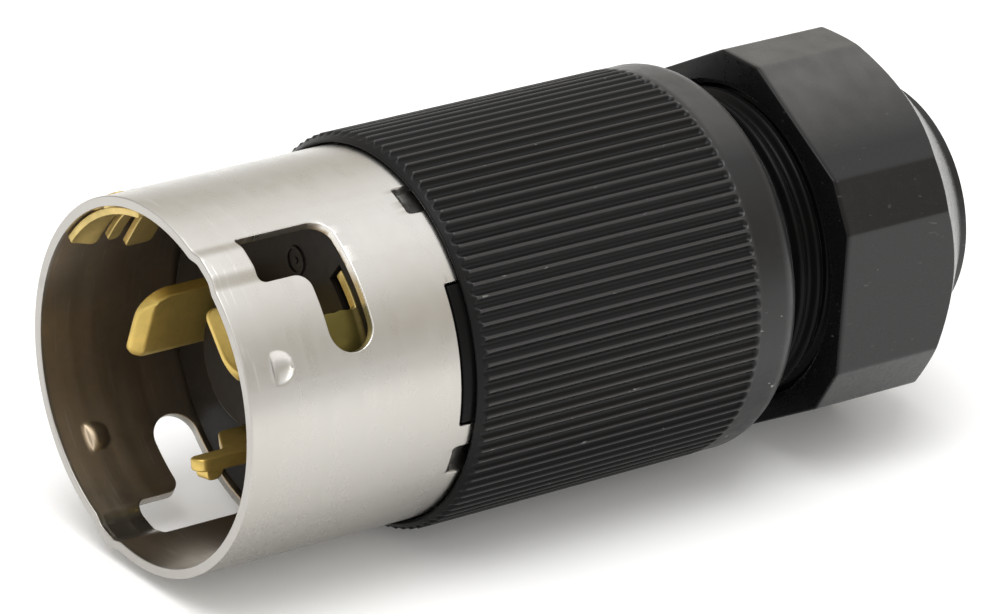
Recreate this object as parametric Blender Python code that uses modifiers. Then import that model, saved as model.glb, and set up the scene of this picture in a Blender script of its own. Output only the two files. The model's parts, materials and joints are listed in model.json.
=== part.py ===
"""Locking plug with a steel shell, three blades and a threaded cord gland.

The plug is modelled standing on its cord end, mating rim up, and then laid on its side by one empty.
Lengths are metres. A depth is measured from the mating rim towards the cord, and an angle is measured
about the plug's axis, anticlockwise as seen by someone who looks into the shell.
"""

import math

import bmesh
import bpy
from mathutils import Matrix, Vector

# Driving dimensions: the whole plug
LENGTH = 0.1295
REST_RADIUS = 0.0280
GAP = 0.0003
FINE_STEPS = 64
HOUSING_STEPS = 48
PLAIN_STEPS = 40

# Steel shell
SHELL_RADIUS = 0.0262
SHELL_WALL = 0.0014
SHELL_DEPTH = 0.0440
SHELL_STEP_DEG = 5.0
SLOT_START_DEG = 66.7
SLOT_TURN_DEG = 42.5
SLOT_SECOND_DEG = -164.8
SLOT_LEG_WIDTH = 0.0072
SLOT_FRONT = 0.0069
SLOT_REAR = 0.0213
SLOT_RUN_WIDTH = 0.0069
SLOT_CORNER = 0.0030
SLOT_INNER_CORNER = 0.0022
SLOT_MOUTH_CORNER = 0.0013
CHANNEL_LIFT = 0.0011
CHANNEL_FLANK_DEG = 2.6
DIMPLE_FROM_DEG = -46.0
DIMPLE_SPAN_DEG = 9.0
DIMPLE_FRONT = 0.0045
DIMPLE_LENGTH = 0.0034
DIMPLE_DROP = 0.0011
KEY_FROM_DEG = -6.8
KEY_TO_DEG = 37.1
KEY_FRONT = 0.0340
WINDOW_FROM_DEG = 113.0
WINDOW_TO_DEG = 126.0
WINDOW_FRONT = 0.0010
WINDOW_REAR = 0.0054

# Blades and the insulator that holds them
LINE_X_ANGLE = 162.3
LINE_Y_ANGLE = 42.3
NEUTRAL_ANGLE = -77.7
EARTH_ANGLE = 102.3
BLADE_ANGLES = {"blade_line_x": LINE_X_ANGLE, "blade_line_y": LINE_Y_ANGLE, "blade_neutral": NEUTRAL_ANGLE}
BLADE_INNER = 0.0102
BLADE_THICK = 0.0021
BLADE_WIDTH = 0.0108
BLADE_TIP = 0.0062
BLADE_TAPER = 0.0022
BLADE_NARROW = 0.0080
BLADE_TIP_ROUND = 0.0050
BLADE_TIP_EASE = 0.0012
BLADE_THINNING = 0.62
NOSE_TIP = 0.0046
NOSE_WIDTH = 0.0030
NOSE_BACK = 0.0104
NOSE_SHOULDER_BACK = 0.0150
HOOK_START = 0.0058
HOOK_LENGTH = 0.0031
HOOK_REACH = 0.0032
HOOK_WIDTH = 0.0027
HUB_DEPTH = 0.0160
HUB_RADIUS = 0.0090
FACE_DEPTH = 0.0218
FACE_BACK = 0.0337
FACE_RADIUS = 0.0244
CONTACT_INNER = 0.0212
CONTACT_THICK = 0.0014
CONTACT_FROM_DEG = 14.5
CONTACT_TAB_TO_DEG = 38.2
CONTACT_TO_DEG = 52.0
CONTACT_TIP = 0.0150
CONTACT_BACK = 0.0300
POCKET_INNER = 0.0196
POCKET_OUTER = 0.0231
POCKET_MARGIN_DEG = 1.5
BODY_FRONT = 0.0340
BODY_BACK = 0.0600
BODY_RADIUS = 0.0242
STRAP_SLOT = (0.0044, 0.0108)
STRAP_BAY = (0.0096, 0.0108, 0.0080)
STRAP_BAY_MIDDLE = 0.0212
STRAP_BAY_TURN_DEG = 5.7

# Terminals: box clamp, pressure plate and screw, one set for each pole and one for earth
TERMINALS = {"line_x": LINE_X_ANGLE, "line_y": LINE_Y_ANGLE, "neutral": NEUTRAL_ANGLE, "earth": EARTH_ANGLE}
CLAMP_FRONT = 0.0407
CLAMP_BACK = 0.0540
CLAMP_WIDTH = 0.0084
CLAMP_INNER = 0.0098
CLAMP_OUTER = 0.0196
CLAMP_FLOOR = 0.0112
CLAMP_ROOF = 0.0178
CLAMP_HOLE_WIDTH = 0.0062
SCREW_DEPTH = (CLAMP_FRONT + CLAMP_BACK) / 2
SCREW_SHANK = 0.0022
SCREW_HEAD = 0.0037
SCREW_TIP = 0.0150
SCREW_HEAD_BASE = 0.0215
SCREW_TOP = 0.0237
SCREW_DRIVE = (0.0014, 0.0010, 0.0090)
PLATE_THICK = 0.0010
PLATE_LENGTH = 0.0084

# Earth clip that lines the shell
CLIP_OUTER = 0.0245
CLIP_THICK = 0.0010
CLIP_FRONT = 0.0008
CLIP_FROM_DEG = 98.0
CLIP_TO_DEG = 150.0
CLIP_SPINE_TO_DEG = 118.0
CLIP_FINGERS = ((CLIP_FRONT, 0.0048, 145.0), (0.0058, 0.0078, 143.0), (0.0098, 0.0142, CLIP_TO_DEG))
CLIP_STEP_DEG = 3.0
CLIP_BUMP_LIFT = 0.0022
STRAP_BEND_START = 0.0350
STRAP_BEND_DROP = 0.0056

# Grip housing
GRIP_FRONT = 0.0359
GRIP_BACK = 0.0840
GRIP_TIP_RADIUS = 0.0279
GRIP_ROOT_RADIUS = 0.0273
GRIP_RIBS = 94
RIB_TOP_SHARE = 0.17
RIB_FOOT_SHARE = 0.30
RIB_RING_INNER = 0.0268
SHOULDER_RADIUS = 0.0277
SHOULDER_BACK = 0.0868
SHOULDER_ROUND = 0.0040
GROOVE_RADIUS = 0.0236
GROOVE_DEPTH = 0.0924
HOUSING_BORE = 0.0246
SHELL_SEAT = 0.0443
NECK_CREST = 0.0224
NECK_ROOT = 0.0212
NECK_BACK = 0.1120
NECK_BORE = 0.0194
GROMMET_SEAT = 0.0965
CORD_WAY = 0.0165
CORD_WAY_FRONT = 0.0880
CORD_WAY_BACK = 0.0930
BORE_BACK = 0.0815
KEY_MARGIN_DEG = 0.8
KEY_INNER = 0.0250
KEY_OUTER = 0.0263
KEY_ROOT_INNER = 0.0252
KEY_ROOT_OUTER = 0.0269
THREAD_FIRST = 0.0956
THREAD_PITCH = 0.00305
THREAD_CRESTS = 5

# Gland
NUT_FRONT = 0.0998
NUT_SHORT_HALF_DEG = 8.1
NUT_BORE = 0.0229
NUT_MOUTH = 0.0238
NUT_STOCK = 0.0300
NUT_SHOULDER = 0.1197
NUT_CORD_HOLE = 0.0150
NUT_REAR_RADIUS = 0.0182
NUT_CONE_START = 0.1163
WASHER_FRONT = 0.1176
WASHER_THICK = 0.0018
WASHER_OUTER = 0.0191
WASHER_HOLE = 0.0153
GROMMET_FRONT = 0.1030
GROMMET_RADIUS = 0.0190
GROMMET_HOLE = 0.0134
GROMMET_NOSE = 0.0032
GROMMET_NOSE_DROP = 0.0026
GROMMET_EASE = 0.0006

# Long screws that hold the two insulators together
ASSEMBLY_ANGLES = {"assembly_screw_1": -17.7, "assembly_screw_2": -137.7}
ASSEMBLY_RADIUS_AT = 0.0155
ASSEMBLY_SHANK = 0.0016
ASSEMBLY_HOLE = 0.0019
ASSEMBLY_HEAD = 0.0030
ASSEMBLY_HEAD_HEIGHT = 0.0022
ASSEMBLY_DRIVE = (0.0040, 0.0008, 0.0010)

MATERIALS = {
    "shell_nickel": ((0.72, 0.69, 0.64), 0.32, 1.0),
    "blade_brass": ((0.78, 0.58, 0.26), 0.30, 1.0),
    "clip_brass": ((0.70, 0.55, 0.28), 0.35, 1.0),
    "clamp_brass": ((0.72, 0.54, 0.26), 0.40, 1.0),
    "screw_steel": ((0.62, 0.62, 0.62), 0.35, 1.0),
    "earth_screw_green": ((0.05, 0.32, 0.12), 0.40, 0.6),
    "insulator_black": ((0.018, 0.016, 0.015), 0.45, 0.0),
    "housing_black": ((0.028, 0.026, 0.025), 0.42, 0.0),
    "nut_black": ((0.034, 0.034, 0.035), 0.38, 0.0),
    "grommet_rubber": ((0.022, 0.022, 0.022), 0.75, 0.0),
    "washer_nylon": ((0.60, 0.59, 0.55), 0.50, 0.0),
}


def clear_scene():
    for obj in list(bpy.data.objects):
        bpy.data.objects.remove(obj, do_unlink=True)


def new_collection(name):
    collection = bpy.data.collections.new(name)
    bpy.context.scene.collection.children.link(collection)
    return collection


def make_materials():
    made = {}
    for name, (colour, roughness, metallic) in MATERIALS.items():
        material = bpy.data.materials.new(name)
        material.use_nodes = True
        shader = material.node_tree.nodes["Principled BSDF"]
        shader.inputs["Base Color"].default_value = (*colour, 1.0)
        shader.inputs["Roughness"].default_value = roughness
        shader.inputs["Metallic"].default_value = metallic
        made[name] = material
    return made


clear_scene()
PARTS = new_collection("locking_plug")
CUTTERS = new_collection("cutters")
FINISH = make_materials()


def lay_down():
    """The empty that turns the upright plug on its side, rim towards -Y, resting on the ground plane."""
    empty = bpy.data.objects.new("plug_axis", None)
    empty.location = (0.0, LENGTH / 2, REST_RADIUS)
    empty.rotation_euler = (math.radians(90), 0.0, 0.0)
    PARTS.objects.link(empty)
    return empty


AXIS = lay_down()


def height(depth):
    return LENGTH - depth


def around(radius, angle_deg, depth):
    angle = math.radians(angle_deg)
    return Vector((radius * math.cos(angle), radius * math.sin(angle), height(depth)))


def place(obj, finish, smooth_deg=35.0):
    """Puts a finished object under the plug's axis and shades its round faces smooth."""
    PARTS.objects.link(obj)
    obj.parent = AXIS
    obj.data.materials.append(FINISH[finish])
    obj.data.shade_smooth()
    obj.data.set_sharp_from_angle(angle=math.radians(smooth_deg))
    return obj


def hide_cutter(obj):
    CUTTERS.objects.link(obj)
    obj.parent = AXIS
    obj.hide_render = True
    obj.display_type = "WIRE"
    return obj


def object_of(name, mesh_data):
    return bpy.data.objects.new(name, mesh_data)


def mesh_from(bm, name):
    """The finished mesh of a closed form, its faces turned outwards."""
    bmesh.ops.recalc_face_normals(bm, faces=bm.faces)
    if bm.calc_volume(signed=True) < 0:
        bmesh.ops.reverse_faces(bm, faces=bm.faces)
    mesh_data = bpy.data.meshes.new(name)
    bm.to_mesh(mesh_data)
    bm.free()
    return mesh_data


def turned(name, outline, steps):
    """A turned solid from a closed outline of (radius, depth) points, outer side first, rim to cord."""
    mesh_data = bpy.data.meshes.new(name)
    points = [(radius, 0.0, height(depth)) for radius, depth in outline]
    edges = [(i, (i + 1) % len(points)) for i in range(len(points))]
    mesh_data.from_pydata(points, edges, [])
    obj = object_of(name, mesh_data)
    screw = obj.modifiers.new("turn", "SCREW")
    screw.axis = "Z"
    screw.angle = math.tau
    screw.steps = steps
    screw.render_steps = steps
    screw.use_merge_vertices = True
    screw.merge_threshold = 0.00001
    screw.use_smooth_shade = True
    return obj


def box(name, size, centre, angle_deg=0.0):
    """A box of (radial, tangential, axial) size, centred at (radius, offset along the tangent, depth)."""
    bm = bmesh.new()
    bmesh.ops.create_cube(bm, size=1.0)
    bmesh.ops.scale(bm, vec=size, verts=bm.verts)
    radius, tangent, depth = centre
    bmesh.ops.translate(bm, vec=(radius, tangent, height(depth)), verts=bm.verts)
    bmesh.ops.rotate(bm, matrix=Matrix.Rotation(math.radians(angle_deg), 3, "Z"), verts=bm.verts)
    return object_of(name, mesh_from(bm, name))


def radial_rod(name, radius, from_radius, to_radius, angle_deg, depth, sides=24):
    """A round rod that points straight out from the axis."""
    bm = bmesh.new()
    bmesh.ops.create_cone(
        bm, cap_ends=True, segments=sides, radius1=radius, radius2=radius, depth=to_radius - from_radius
    )
    bmesh.ops.rotate(bm, matrix=Matrix.Rotation(math.radians(90), 3, "Y"), verts=bm.verts)
    bmesh.ops.translate(bm, vec=((from_radius + to_radius) / 2, 0.0, height(depth)), verts=bm.verts)
    bmesh.ops.rotate(bm, matrix=Matrix.Rotation(math.radians(angle_deg), 3, "Z"), verts=bm.verts)
    return object_of(name, mesh_from(bm, name))


def axial_rod(name, radius, radius_at, angle_deg, from_depth, to_depth, sides=24):
    bm = bmesh.new()
    bmesh.ops.create_cone(
        bm, cap_ends=True, segments=sides, radius1=radius, radius2=radius, depth=to_depth - from_depth
    )
    bmesh.ops.translate(bm, vec=around(radius_at, angle_deg, (from_depth + to_depth) / 2), verts=bm.verts)
    return object_of(name, mesh_from(bm, name))


def sector(name, inner, outer, from_depth, to_depth, from_deg, to_deg, steps):
    """A curved block: a rectangle in a plane through the axis, spun about it."""
    bm = bmesh.new()
    corners = [(inner, from_depth), (outer, from_depth), (outer, to_depth), (inner, to_depth)]
    face = bm.faces.new([bm.verts.new(around(radius, from_deg, depth)) for radius, depth in corners])
    geometry = [face] + face.edges[:] + face.verts[:]
    bmesh.ops.spin(
        bm, geom=geometry, cent=(0, 0, 0), axis=(0, 0, 1), angle=math.radians(to_deg - from_deg), steps=steps
    )
    return object_of(name, mesh_from(bm, name))


def boolean(obj, other, operation):
    modifier = obj.modifiers.new(f"{operation.lower()}_{other.name}"[:60], "BOOLEAN")
    modifier.operation = operation
    modifier.object = other
    return obj


def cut(obj, cutter):
    return boolean(obj, hide_cutter(cutter), "DIFFERENCE")


def join(obj, extra):
    return boolean(obj, hide_cutter(extra), "UNION")


def arc(centre, radius, start_deg, end_deg, count):
    """Points of a round corner, ends included."""
    points = []
    for i in range(count + 1):
        angle = math.radians(start_deg + (end_deg - start_deg) * i / count)
        points.append((centre[0] + radius * math.cos(angle), centre[1] + radius * math.sin(angle)))
    return points


def plate_from_outlines(name, outlines, thickness):
    """A flat plate, centred on its own plane: the first outline is its edge, the rest are holes."""
    curve = bpy.data.curves.new(name, "CURVE")
    curve.dimensions = "2D"
    curve.fill_mode = "BOTH"
    curve.extrude = thickness / 2
    for outline in outlines:
        spline = curve.splines.new("POLY")
        spline.points.add(len(outline) - 1)
        for point, (x, y) in zip(spline.points, outline):
            point.co = (x, y, 0.0, 1.0)
        spline.use_cyclic_u = True
    source = bpy.data.objects.new(name, curve)
    CUTTERS.objects.link(source)
    bpy.context.view_layer.update()
    graph = bpy.context.evaluated_depsgraph_get()
    mesh_data = bpy.data.meshes.new_from_object(source.evaluated_get(graph))
    bpy.data.objects.remove(source, do_unlink=True)
    bpy.data.curves.remove(curve)
    bm = bmesh.new()
    bm.from_mesh(mesh_data)
    bpy.data.meshes.remove(mesh_data)
    bmesh.ops.remove_doubles(bm, verts=bm.verts, dist=0.000001)
    return bm


def slice_plate(bm, axis, places):
    """Adds edge lines across a flat plate, so that it can bend there."""
    normal = (1.0, 0.0, 0.0) if axis == 0 else (0.0, 1.0, 0.0)
    for place_at in places:
        point = (place_at, 0.0, 0.0) if axis == 0 else (0.0, place_at, 0.0)
        geometry = bm.verts[:] + bm.edges[:] + bm.faces[:]
        bmesh.ops.bisect_plane(bm, geom=geometry, dist=0.000001, plane_co=point, plane_no=normal)


def roll_plate(bm, radius, lift=None):
    """Rolls a flat plate (x = arc, y = depth) about the plug's axis; lift moves it in or out."""
    for vert in bm.verts:
        angle_deg = math.degrees(vert.co.x / radius)
        depth = vert.co.y
        at_radius = radius + vert.co.z + (lift(angle_deg, depth) if lift else 0.0)
        vert.co = around(at_radius, angle_deg, depth)


# Steel shell


def slot_outline(turn_deg):
    """A J-shaped slot on the unrolled shell: an axial leg, then a run to one side with a round end."""
    radius = SHELL_RADIUS - SHELL_WALL / 2

    def flat(angle_deg):
        return radius * math.radians(angle_deg + turn_deg)

    high = flat(SLOT_START_DEG)
    inner = high - SLOT_LEG_WIDTH
    end = flat(SLOT_START_DEG - SLOT_TURN_DEG)
    run_front = SLOT_REAR - SLOT_RUN_WIDTH
    half = SLOT_RUN_WIDTH / 2
    outline = [(high, SLOT_FRONT)]
    outline += arc((high - SLOT_CORNER, SLOT_REAR - SLOT_CORNER), SLOT_CORNER, 0, 90, 4)
    outline += arc((end + half, SLOT_REAR - half), half, 90, 270, 10)
    centre = (inner - SLOT_INNER_CORNER, run_front - SLOT_INNER_CORNER)
    outline += arc(centre, SLOT_INNER_CORNER, 90, 0, 4)
    centre = (inner + SLOT_MOUTH_CORNER, SLOT_FRONT + SLOT_MOUTH_CORNER)
    outline += arc(centre, SLOT_MOUTH_CORNER, 180, 270, 3)
    return outline


def key_outline():
    """The notch in the shell's rear edge that the housing's key fills."""
    radius = SHELL_RADIUS - SHELL_WALL / 2
    low = radius * math.radians(KEY_FROM_DEG)
    high = radius * math.radians(KEY_TO_DEG)
    return [(high, SHELL_DEPTH), (high, KEY_FRONT), (low, KEY_FRONT), (low, SHELL_DEPTH)]


def window_outline():
    radius = SHELL_RADIUS - SHELL_WALL / 2
    low = radius * math.radians(WINDOW_FROM_DEG)
    high = radius * math.radians(WINDOW_TO_DEG)
    return [(low, WINDOW_FRONT), (high, WINDOW_FRONT), (high, WINDOW_REAR), (low, WINDOW_REAR)]


def wrapped(angle_deg):
    return (angle_deg + 180.0) % 360.0 - 180.0


def shell_lift(angle_deg, depth):
    """How far the pressed channels stand out of the shell and the pressed dimples stand into it."""
    for turn_deg in (0.0, SLOT_SECOND_DEG):
        half = math.degrees(SLOT_LEG_WIDTH / 2 / (SHELL_RADIUS - SHELL_WALL / 2))
        middle = SLOT_START_DEG + turn_deg - half
        away = abs(wrapped(angle_deg - middle))
        if depth < SLOT_FRONT + 0.00001 and away < half:
            return CHANNEL_LIFT * min(1.0, (half - away) / CHANNEL_FLANK_DEG)
        start = SLOT_START_DEG + DIMPLE_FROM_DEG + turn_deg
        across = wrapped(angle_deg - start)
        behind = depth - DIMPLE_FRONT
        if 0.5 < across < DIMPLE_SPAN_DEG - 0.5 and 0.00005 < behind < DIMPLE_LENGTH:
            return -DIMPLE_DROP * (1.0 - behind / DIMPLE_LENGTH)
    return 0.0


def slot_lines():
    """The angles at which the shell needs an edge line for its pressed shapes."""
    radius = SHELL_RADIUS - SHELL_WALL / 2
    leg_deg = math.degrees(SLOT_LEG_WIDTH / radius)
    lines = []
    for turn_deg in (0.0, SLOT_SECOND_DEG):
        high = SLOT_START_DEG + turn_deg
        lines += [high, high - CHANNEL_FLANK_DEG, high - leg_deg + CHANNEL_FLANK_DEG, high - leg_deg]
        start = high + DIMPLE_FROM_DEG
        lines += [start + 0.2, start + 1.0, start + DIMPLE_SPAN_DEG - 1.0, start + DIMPLE_SPAN_DEG - 0.2]
    return [wrapped(line) for line in lines]


def make_shell():
    """The shell is punched flat, pressed, and rolled into a tube whose two ends are welded."""
    radius = SHELL_RADIUS - SHELL_WALL / 2
    half_turn = radius * math.pi
    edge = [(half_turn, SHELL_DEPTH)] + key_outline()
    edge += [(-half_turn, SHELL_DEPTH), (-half_turn, 0.0), (half_turn, 0.0)]
    holes = [slot_outline(0.0), slot_outline(SLOT_SECOND_DEG), window_outline()]
    bm = plate_from_outlines("shell", [edge] + holes, SHELL_WALL)
    steps = int(360 / SHELL_STEP_DEG)
    angles = [-180 + SHELL_STEP_DEG * i for i in range(1, steps)]
    slice_plate(bm, 0, [radius * math.radians(angle) for angle in angles + slot_lines()])
    slice_plate(bm, 1, [DIMPLE_FRONT, DIMPLE_FRONT + 0.0001, SLOT_FRONT, DIMPLE_FRONT + DIMPLE_LENGTH])
    ends = [f for f in bm.faces if all(abs(abs(v.co.x) - half_turn) < 0.000001 for v in f.verts)]
    bmesh.ops.delete(bm, geom=ends, context="FACES")
    roll_plate(bm, radius, shell_lift)
    bmesh.ops.remove_doubles(bm, verts=bm.verts, dist=0.000002)
    return place(object_of("shell", mesh_from(bm, "shell")), "shell_nickel", 30.0)


# Blades


def blade_outline():
    """A blade laid flat: x across its width, y depth. One tip corner is round, the other only eased."""
    half = BLADE_WIDTH / 2
    narrow = BLADE_NARROW / 2
    wide_end = FACE_BACK - 0.0010
    outline = arc((half - BLADE_TIP_EASE, BLADE_TIP + BLADE_TIP_EASE + 0.0008), BLADE_TIP_EASE, 0, -80, 3)
    outline += arc((-half + BLADE_TIP_ROUND, BLADE_TIP + BLADE_TIP_ROUND), BLADE_TIP_ROUND, -90, -180, 6)
    outline += [(-half, wide_end), (-narrow, wide_end), (-narrow, CLAMP_FRONT - GAP)]
    outline += [(narrow, CLAMP_FRONT - GAP), (narrow, wide_end), (half, wide_end)]
    return outline


def nosed_outline():
    """The neutral blade laid flat: a narrow round nose along one edge, then a slanting shoulder."""
    half = BLADE_WIDTH / 2
    narrow = BLADE_NARROW / 2
    wide_end = FACE_BACK - 0.0010
    round_nose = NOSE_WIDTH / 2
    outline = arc((half - round_nose, NOSE_TIP + round_nose), round_nose, 0, -180, 8)
    outline += [(half - NOSE_WIDTH, NOSE_BACK), (-half, NOSE_SHOULDER_BACK)]
    outline += [(-half, wide_end), (-narrow, wide_end), (-narrow, CLAMP_FRONT - GAP)]
    outline += [(narrow, CLAMP_FRONT - GAP), (narrow, wide_end), (half, wide_end)]
    return outline


def hook_outline():
    """The lug on the neutral blade's tip: y depth, x how far it stands out from the blade's inner face."""
    foot = 0.0004
    back = HOOK_START + HOOK_LENGTH
    outline = [(foot, HOOK_START), (HOOK_REACH - 0.0008, HOOK_START), (HOOK_REACH, HOOK_START + 0.0008)]
    outline += [(HOOK_REACH, HOOK_START + 0.0016), (HOOK_REACH - 0.0006, back - 0.0012)]
    outline += [(BLADE_THICK - 0.0002, back), (foot, back)]
    return outline


def taper_tip(bm, half_thick):
    """Slopes the blade's inner face towards its tip, so that it finds its slot."""
    for vert in bm.verts:
        short = (BLADE_TIP + BLADE_TAPER - vert.co.y) / BLADE_TAPER
        if short > 0 and vert.co.z < 0:
            vert.co.z += 2 * half_thick * BLADE_THINNING * min(1.0, short)


def stand_blade(bm, angle_deg, middle_radius):
    """Moves a flat blade (x across, y depth, z thickness) to its place round the axis."""
    turn = Matrix.Rotation(math.radians(angle_deg), 3, "Z")
    for vert in bm.verts:
        across, depth, out = vert.co
        vert.co = turn @ Vector((middle_radius + out, across, height(depth)))


def make_blade(name, angle_deg, hooked):
    bm = plate_from_outlines(name, [nosed_outline() if hooked else blade_outline()], BLADE_THICK)
    if not hooked:
        slice_plate(bm, 1, [BLADE_TIP + BLADE_TAPER])
        taper_tip(bm, BLADE_THICK / 2)
    stand_blade(bm, angle_deg, BLADE_INNER + BLADE_THICK / 2)
    obj = place(object_of(name, mesh_from(bm, name)), "blade_brass")
    if hooked:
        hook = plate_from_outlines(f"{name}_hook", [hook_outline()], HOOK_WIDTH)
        turn = Matrix.Rotation(math.radians(angle_deg), 3, "Z")
        at_edge = (BLADE_WIDTH - HOOK_WIDTH) / 2 - 0.0001
        for vert in hook.verts:
            out, depth, across = vert.co
            vert.co = turn @ Vector((BLADE_INNER + out, at_edge + across, height(depth)))
        join(obj, object_of(f"{name}_hook", mesh_from(hook, f"{name}_hook")))
    return obj


# Insulators


def make_face_insulator():
    """The black face that the blades stand in: a raised hub, a slot for each blade and one for the strap."""
    hub_edge = 0.0004
    outline = [(0.0, HUB_DEPTH), (HUB_RADIUS - hub_edge, HUB_DEPTH), (HUB_RADIUS, HUB_DEPTH + hub_edge)]
    outline += [(HUB_RADIUS, FACE_DEPTH)]
    outline += [(FACE_RADIUS - 0.0005, FACE_DEPTH), (FACE_RADIUS, FACE_DEPTH + 0.0005)]
    outline += [(FACE_RADIUS, FACE_BACK), (0.0, FACE_BACK)]
    obj = turned("face_insulator", outline, FINE_STEPS)
    depth_size = FACE_BACK - FACE_DEPTH + 0.002
    middle = (FACE_DEPTH + FACE_BACK) / 2
    for name, angle_deg in BLADE_ANGLES.items():
        size = (BLADE_THICK + 2 * GAP, BLADE_WIDTH + 2 * GAP, depth_size)
        centre = (BLADE_INNER + BLADE_THICK / 2, 0.0, middle)
        cut(obj, box(f"slot_for_{name}", size, centre, angle_deg))
    strap_angle = (CLIP_FROM_DEG + CLIP_SPINE_TO_DEG) / 2
    strap_centre = (FACE_RADIUS + 0.0002, 0.0, middle)
    cut(obj, box("slot_for_strap", (*STRAP_SLOT, depth_size), strap_centre, strap_angle))
    low = CONTACT_FROM_DEG - POCKET_MARGIN_DEG
    high = CONTACT_TO_DEG + POCKET_MARGIN_DEG
    front = FACE_DEPTH - 0.0010
    back = CONTACT_BACK + GAP
    cut(obj, sector("contact_pocket", POCKET_INNER, POCKET_OUTER, front, back, low, high, 12))
    for name, angle_deg in ASSEMBLY_ANGLES.items():
        start = FACE_DEPTH + 0.0040
        end = FACE_BACK + 0.0010
        cut(obj, axial_rod(f"hole_for_{name}", ASSEMBLY_HOLE, ASSEMBLY_RADIUS_AT, angle_deg, start, end, 16))
    return place(obj, "insulator_black")


def make_slot_contact():
    """A curved brass piece: its foot is sunk in the face, and its tab stands behind a slot's end."""
    radius = CONTACT_INNER + CONTACT_THICK / 2
    low = radius * math.radians(CONTACT_FROM_DEG)
    tab = radius * math.radians(CONTACT_TAB_TO_DEG)
    high = radius * math.radians(CONTACT_TO_DEG)
    outline = [(low, CONTACT_TIP), (tab, CONTACT_TIP), (tab, FACE_DEPTH), (high, FACE_DEPTH)]
    outline += [(high, CONTACT_BACK), (low, CONTACT_BACK)]
    bm = plate_from_outlines("slot_contact", [outline], CONTACT_THICK)
    steps = int((CONTACT_TO_DEG - CONTACT_FROM_DEG) / CLIP_STEP_DEG)
    angles = [CONTACT_FROM_DEG + CLIP_STEP_DEG * (i + 1) for i in range(steps)]
    slice_plate(bm, 0, [radius * math.radians(angle) for angle in angles])
    roll_plate(bm, radius)
    return place(object_of("slot_contact", mesh_from(bm, "slot_contact")), "blade_brass", 30.0)


def make_terminal_body():
    """The rear insulator: a barrel with an open bay for each terminal, walls standing between the bays."""
    outline = [(0.0, BODY_FRONT), (BODY_RADIUS, BODY_FRONT), (BODY_RADIUS, BODY_BACK), (0.0, BODY_BACK)]
    obj = turned("terminal_body", outline, FINE_STEPS)
    bay_front = CLAMP_FRONT - GAP
    bay_back = BODY_BACK + 0.001
    bay_high = 0.0200
    wall_middle = BODY_FRONT + 0.0030
    for name, angle_deg in TERMINALS.items():
        size = (bay_high, CLAMP_WIDTH + 2 * GAP, bay_back - bay_front)
        centre = (CLAMP_INNER - GAP + bay_high / 2, 0.0, (bay_front + bay_back) / 2)
        cut(obj, box(f"bay_{name}", size, centre, angle_deg))
        if name == "earth":
            centre = (STRAP_BAY_MIDDLE, 0.0, wall_middle)
            cut(obj, box("bay_strap", STRAP_BAY, centre, angle_deg + STRAP_BAY_TURN_DEG))
            continue
        size = (BLADE_THICK + 2 * GAP, BLADE_NARROW + 2 * GAP, 0.0090)
        cut(obj, box(f"pass_{name}", size, (BLADE_INNER + BLADE_THICK / 2, 0.0, wall_middle), angle_deg))
    for name, angle_deg in ASSEMBLY_ANGLES.items():
        start = BODY_FRONT - 0.0010
        end = BODY_BACK + 0.0010
        cut(obj, axial_rod(f"bore_{name}", ASSEMBLY_HOLE, ASSEMBLY_RADIUS_AT, angle_deg, start, end, 16))
    return place(obj, "insulator_black")


def make_assembly_screw(name, angle_deg):
    """A long screw: its head bears on the terminal body, and its shank reaches into the face insulator."""
    tip = FACE_DEPTH + 0.0050
    top = BODY_BACK + ASSEMBLY_HEAD_HEIGHT
    obj = axial_rod(name, ASSEMBLY_SHANK, ASSEMBLY_RADIUS_AT, angle_deg, tip, BODY_BACK + 0.0010, 16)
    base = BODY_BACK + GAP
    join(obj, axial_rod(f"{name}_head", ASSEMBLY_HEAD, ASSEMBLY_RADIUS_AT, angle_deg, base, top, 16))
    cut(obj, box(f"{name}_drive", ASSEMBLY_DRIVE, (ASSEMBLY_RADIUS_AT, 0.0, top), angle_deg))
    return place(obj, "screw_steel")


# Terminals


def make_clamp(name, angle_deg):
    """A brass box clamp: the conductor enters from the cord side, and the screw comes in from outside."""
    length = CLAMP_BACK - CLAMP_FRONT
    centre = ((CLAMP_INNER + CLAMP_OUTER) / 2, 0.0, SCREW_DEPTH)
    obj = box(name, (CLAMP_OUTER - CLAMP_INNER, CLAMP_WIDTH, length), centre, angle_deg)
    hole_size = (CLAMP_ROOF - CLAMP_FLOOR, CLAMP_HOLE_WIDTH, length + 0.002)
    cut(obj, box(f"{name}_way", hole_size, ((CLAMP_FLOOR + CLAMP_ROOF) / 2, 0.0, SCREW_DEPTH), angle_deg))
    low = CLAMP_ROOF - 0.0010
    high = CLAMP_OUTER + 0.0010
    hole = radial_rod(f"{name}_tap", SCREW_SHANK + GAP, low, high, angle_deg, SCREW_DEPTH)
    cut(obj, hole)
    return place(obj, "clamp_brass")


def make_plate(name, angle_deg):
    """The pressure plate under the screw's tip."""
    size = (PLATE_THICK, CLAMP_HOLE_WIDTH - 2 * GAP, PLATE_LENGTH)
    centre = (SCREW_TIP - GAP - PLATE_THICK / 2, 0.0, SCREW_DEPTH)
    return place(box(name, size, centre, angle_deg), "screw_steel")


def make_terminal_screw(name, angle_deg, finish):
    obj = radial_rod(name, SCREW_SHANK, SCREW_TIP, SCREW_HEAD_BASE + 0.0005, angle_deg, SCREW_DEPTH, 20)
    join(obj, radial_rod(f"{name}_head", SCREW_HEAD, SCREW_HEAD_BASE, SCREW_TOP, angle_deg, SCREW_DEPTH, 20))
    cut(obj, box(f"{name}_drive", SCREW_DRIVE, (SCREW_TOP, 0.0, SCREW_DEPTH), angle_deg))
    return place(obj, finish)


# Earth clip


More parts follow.
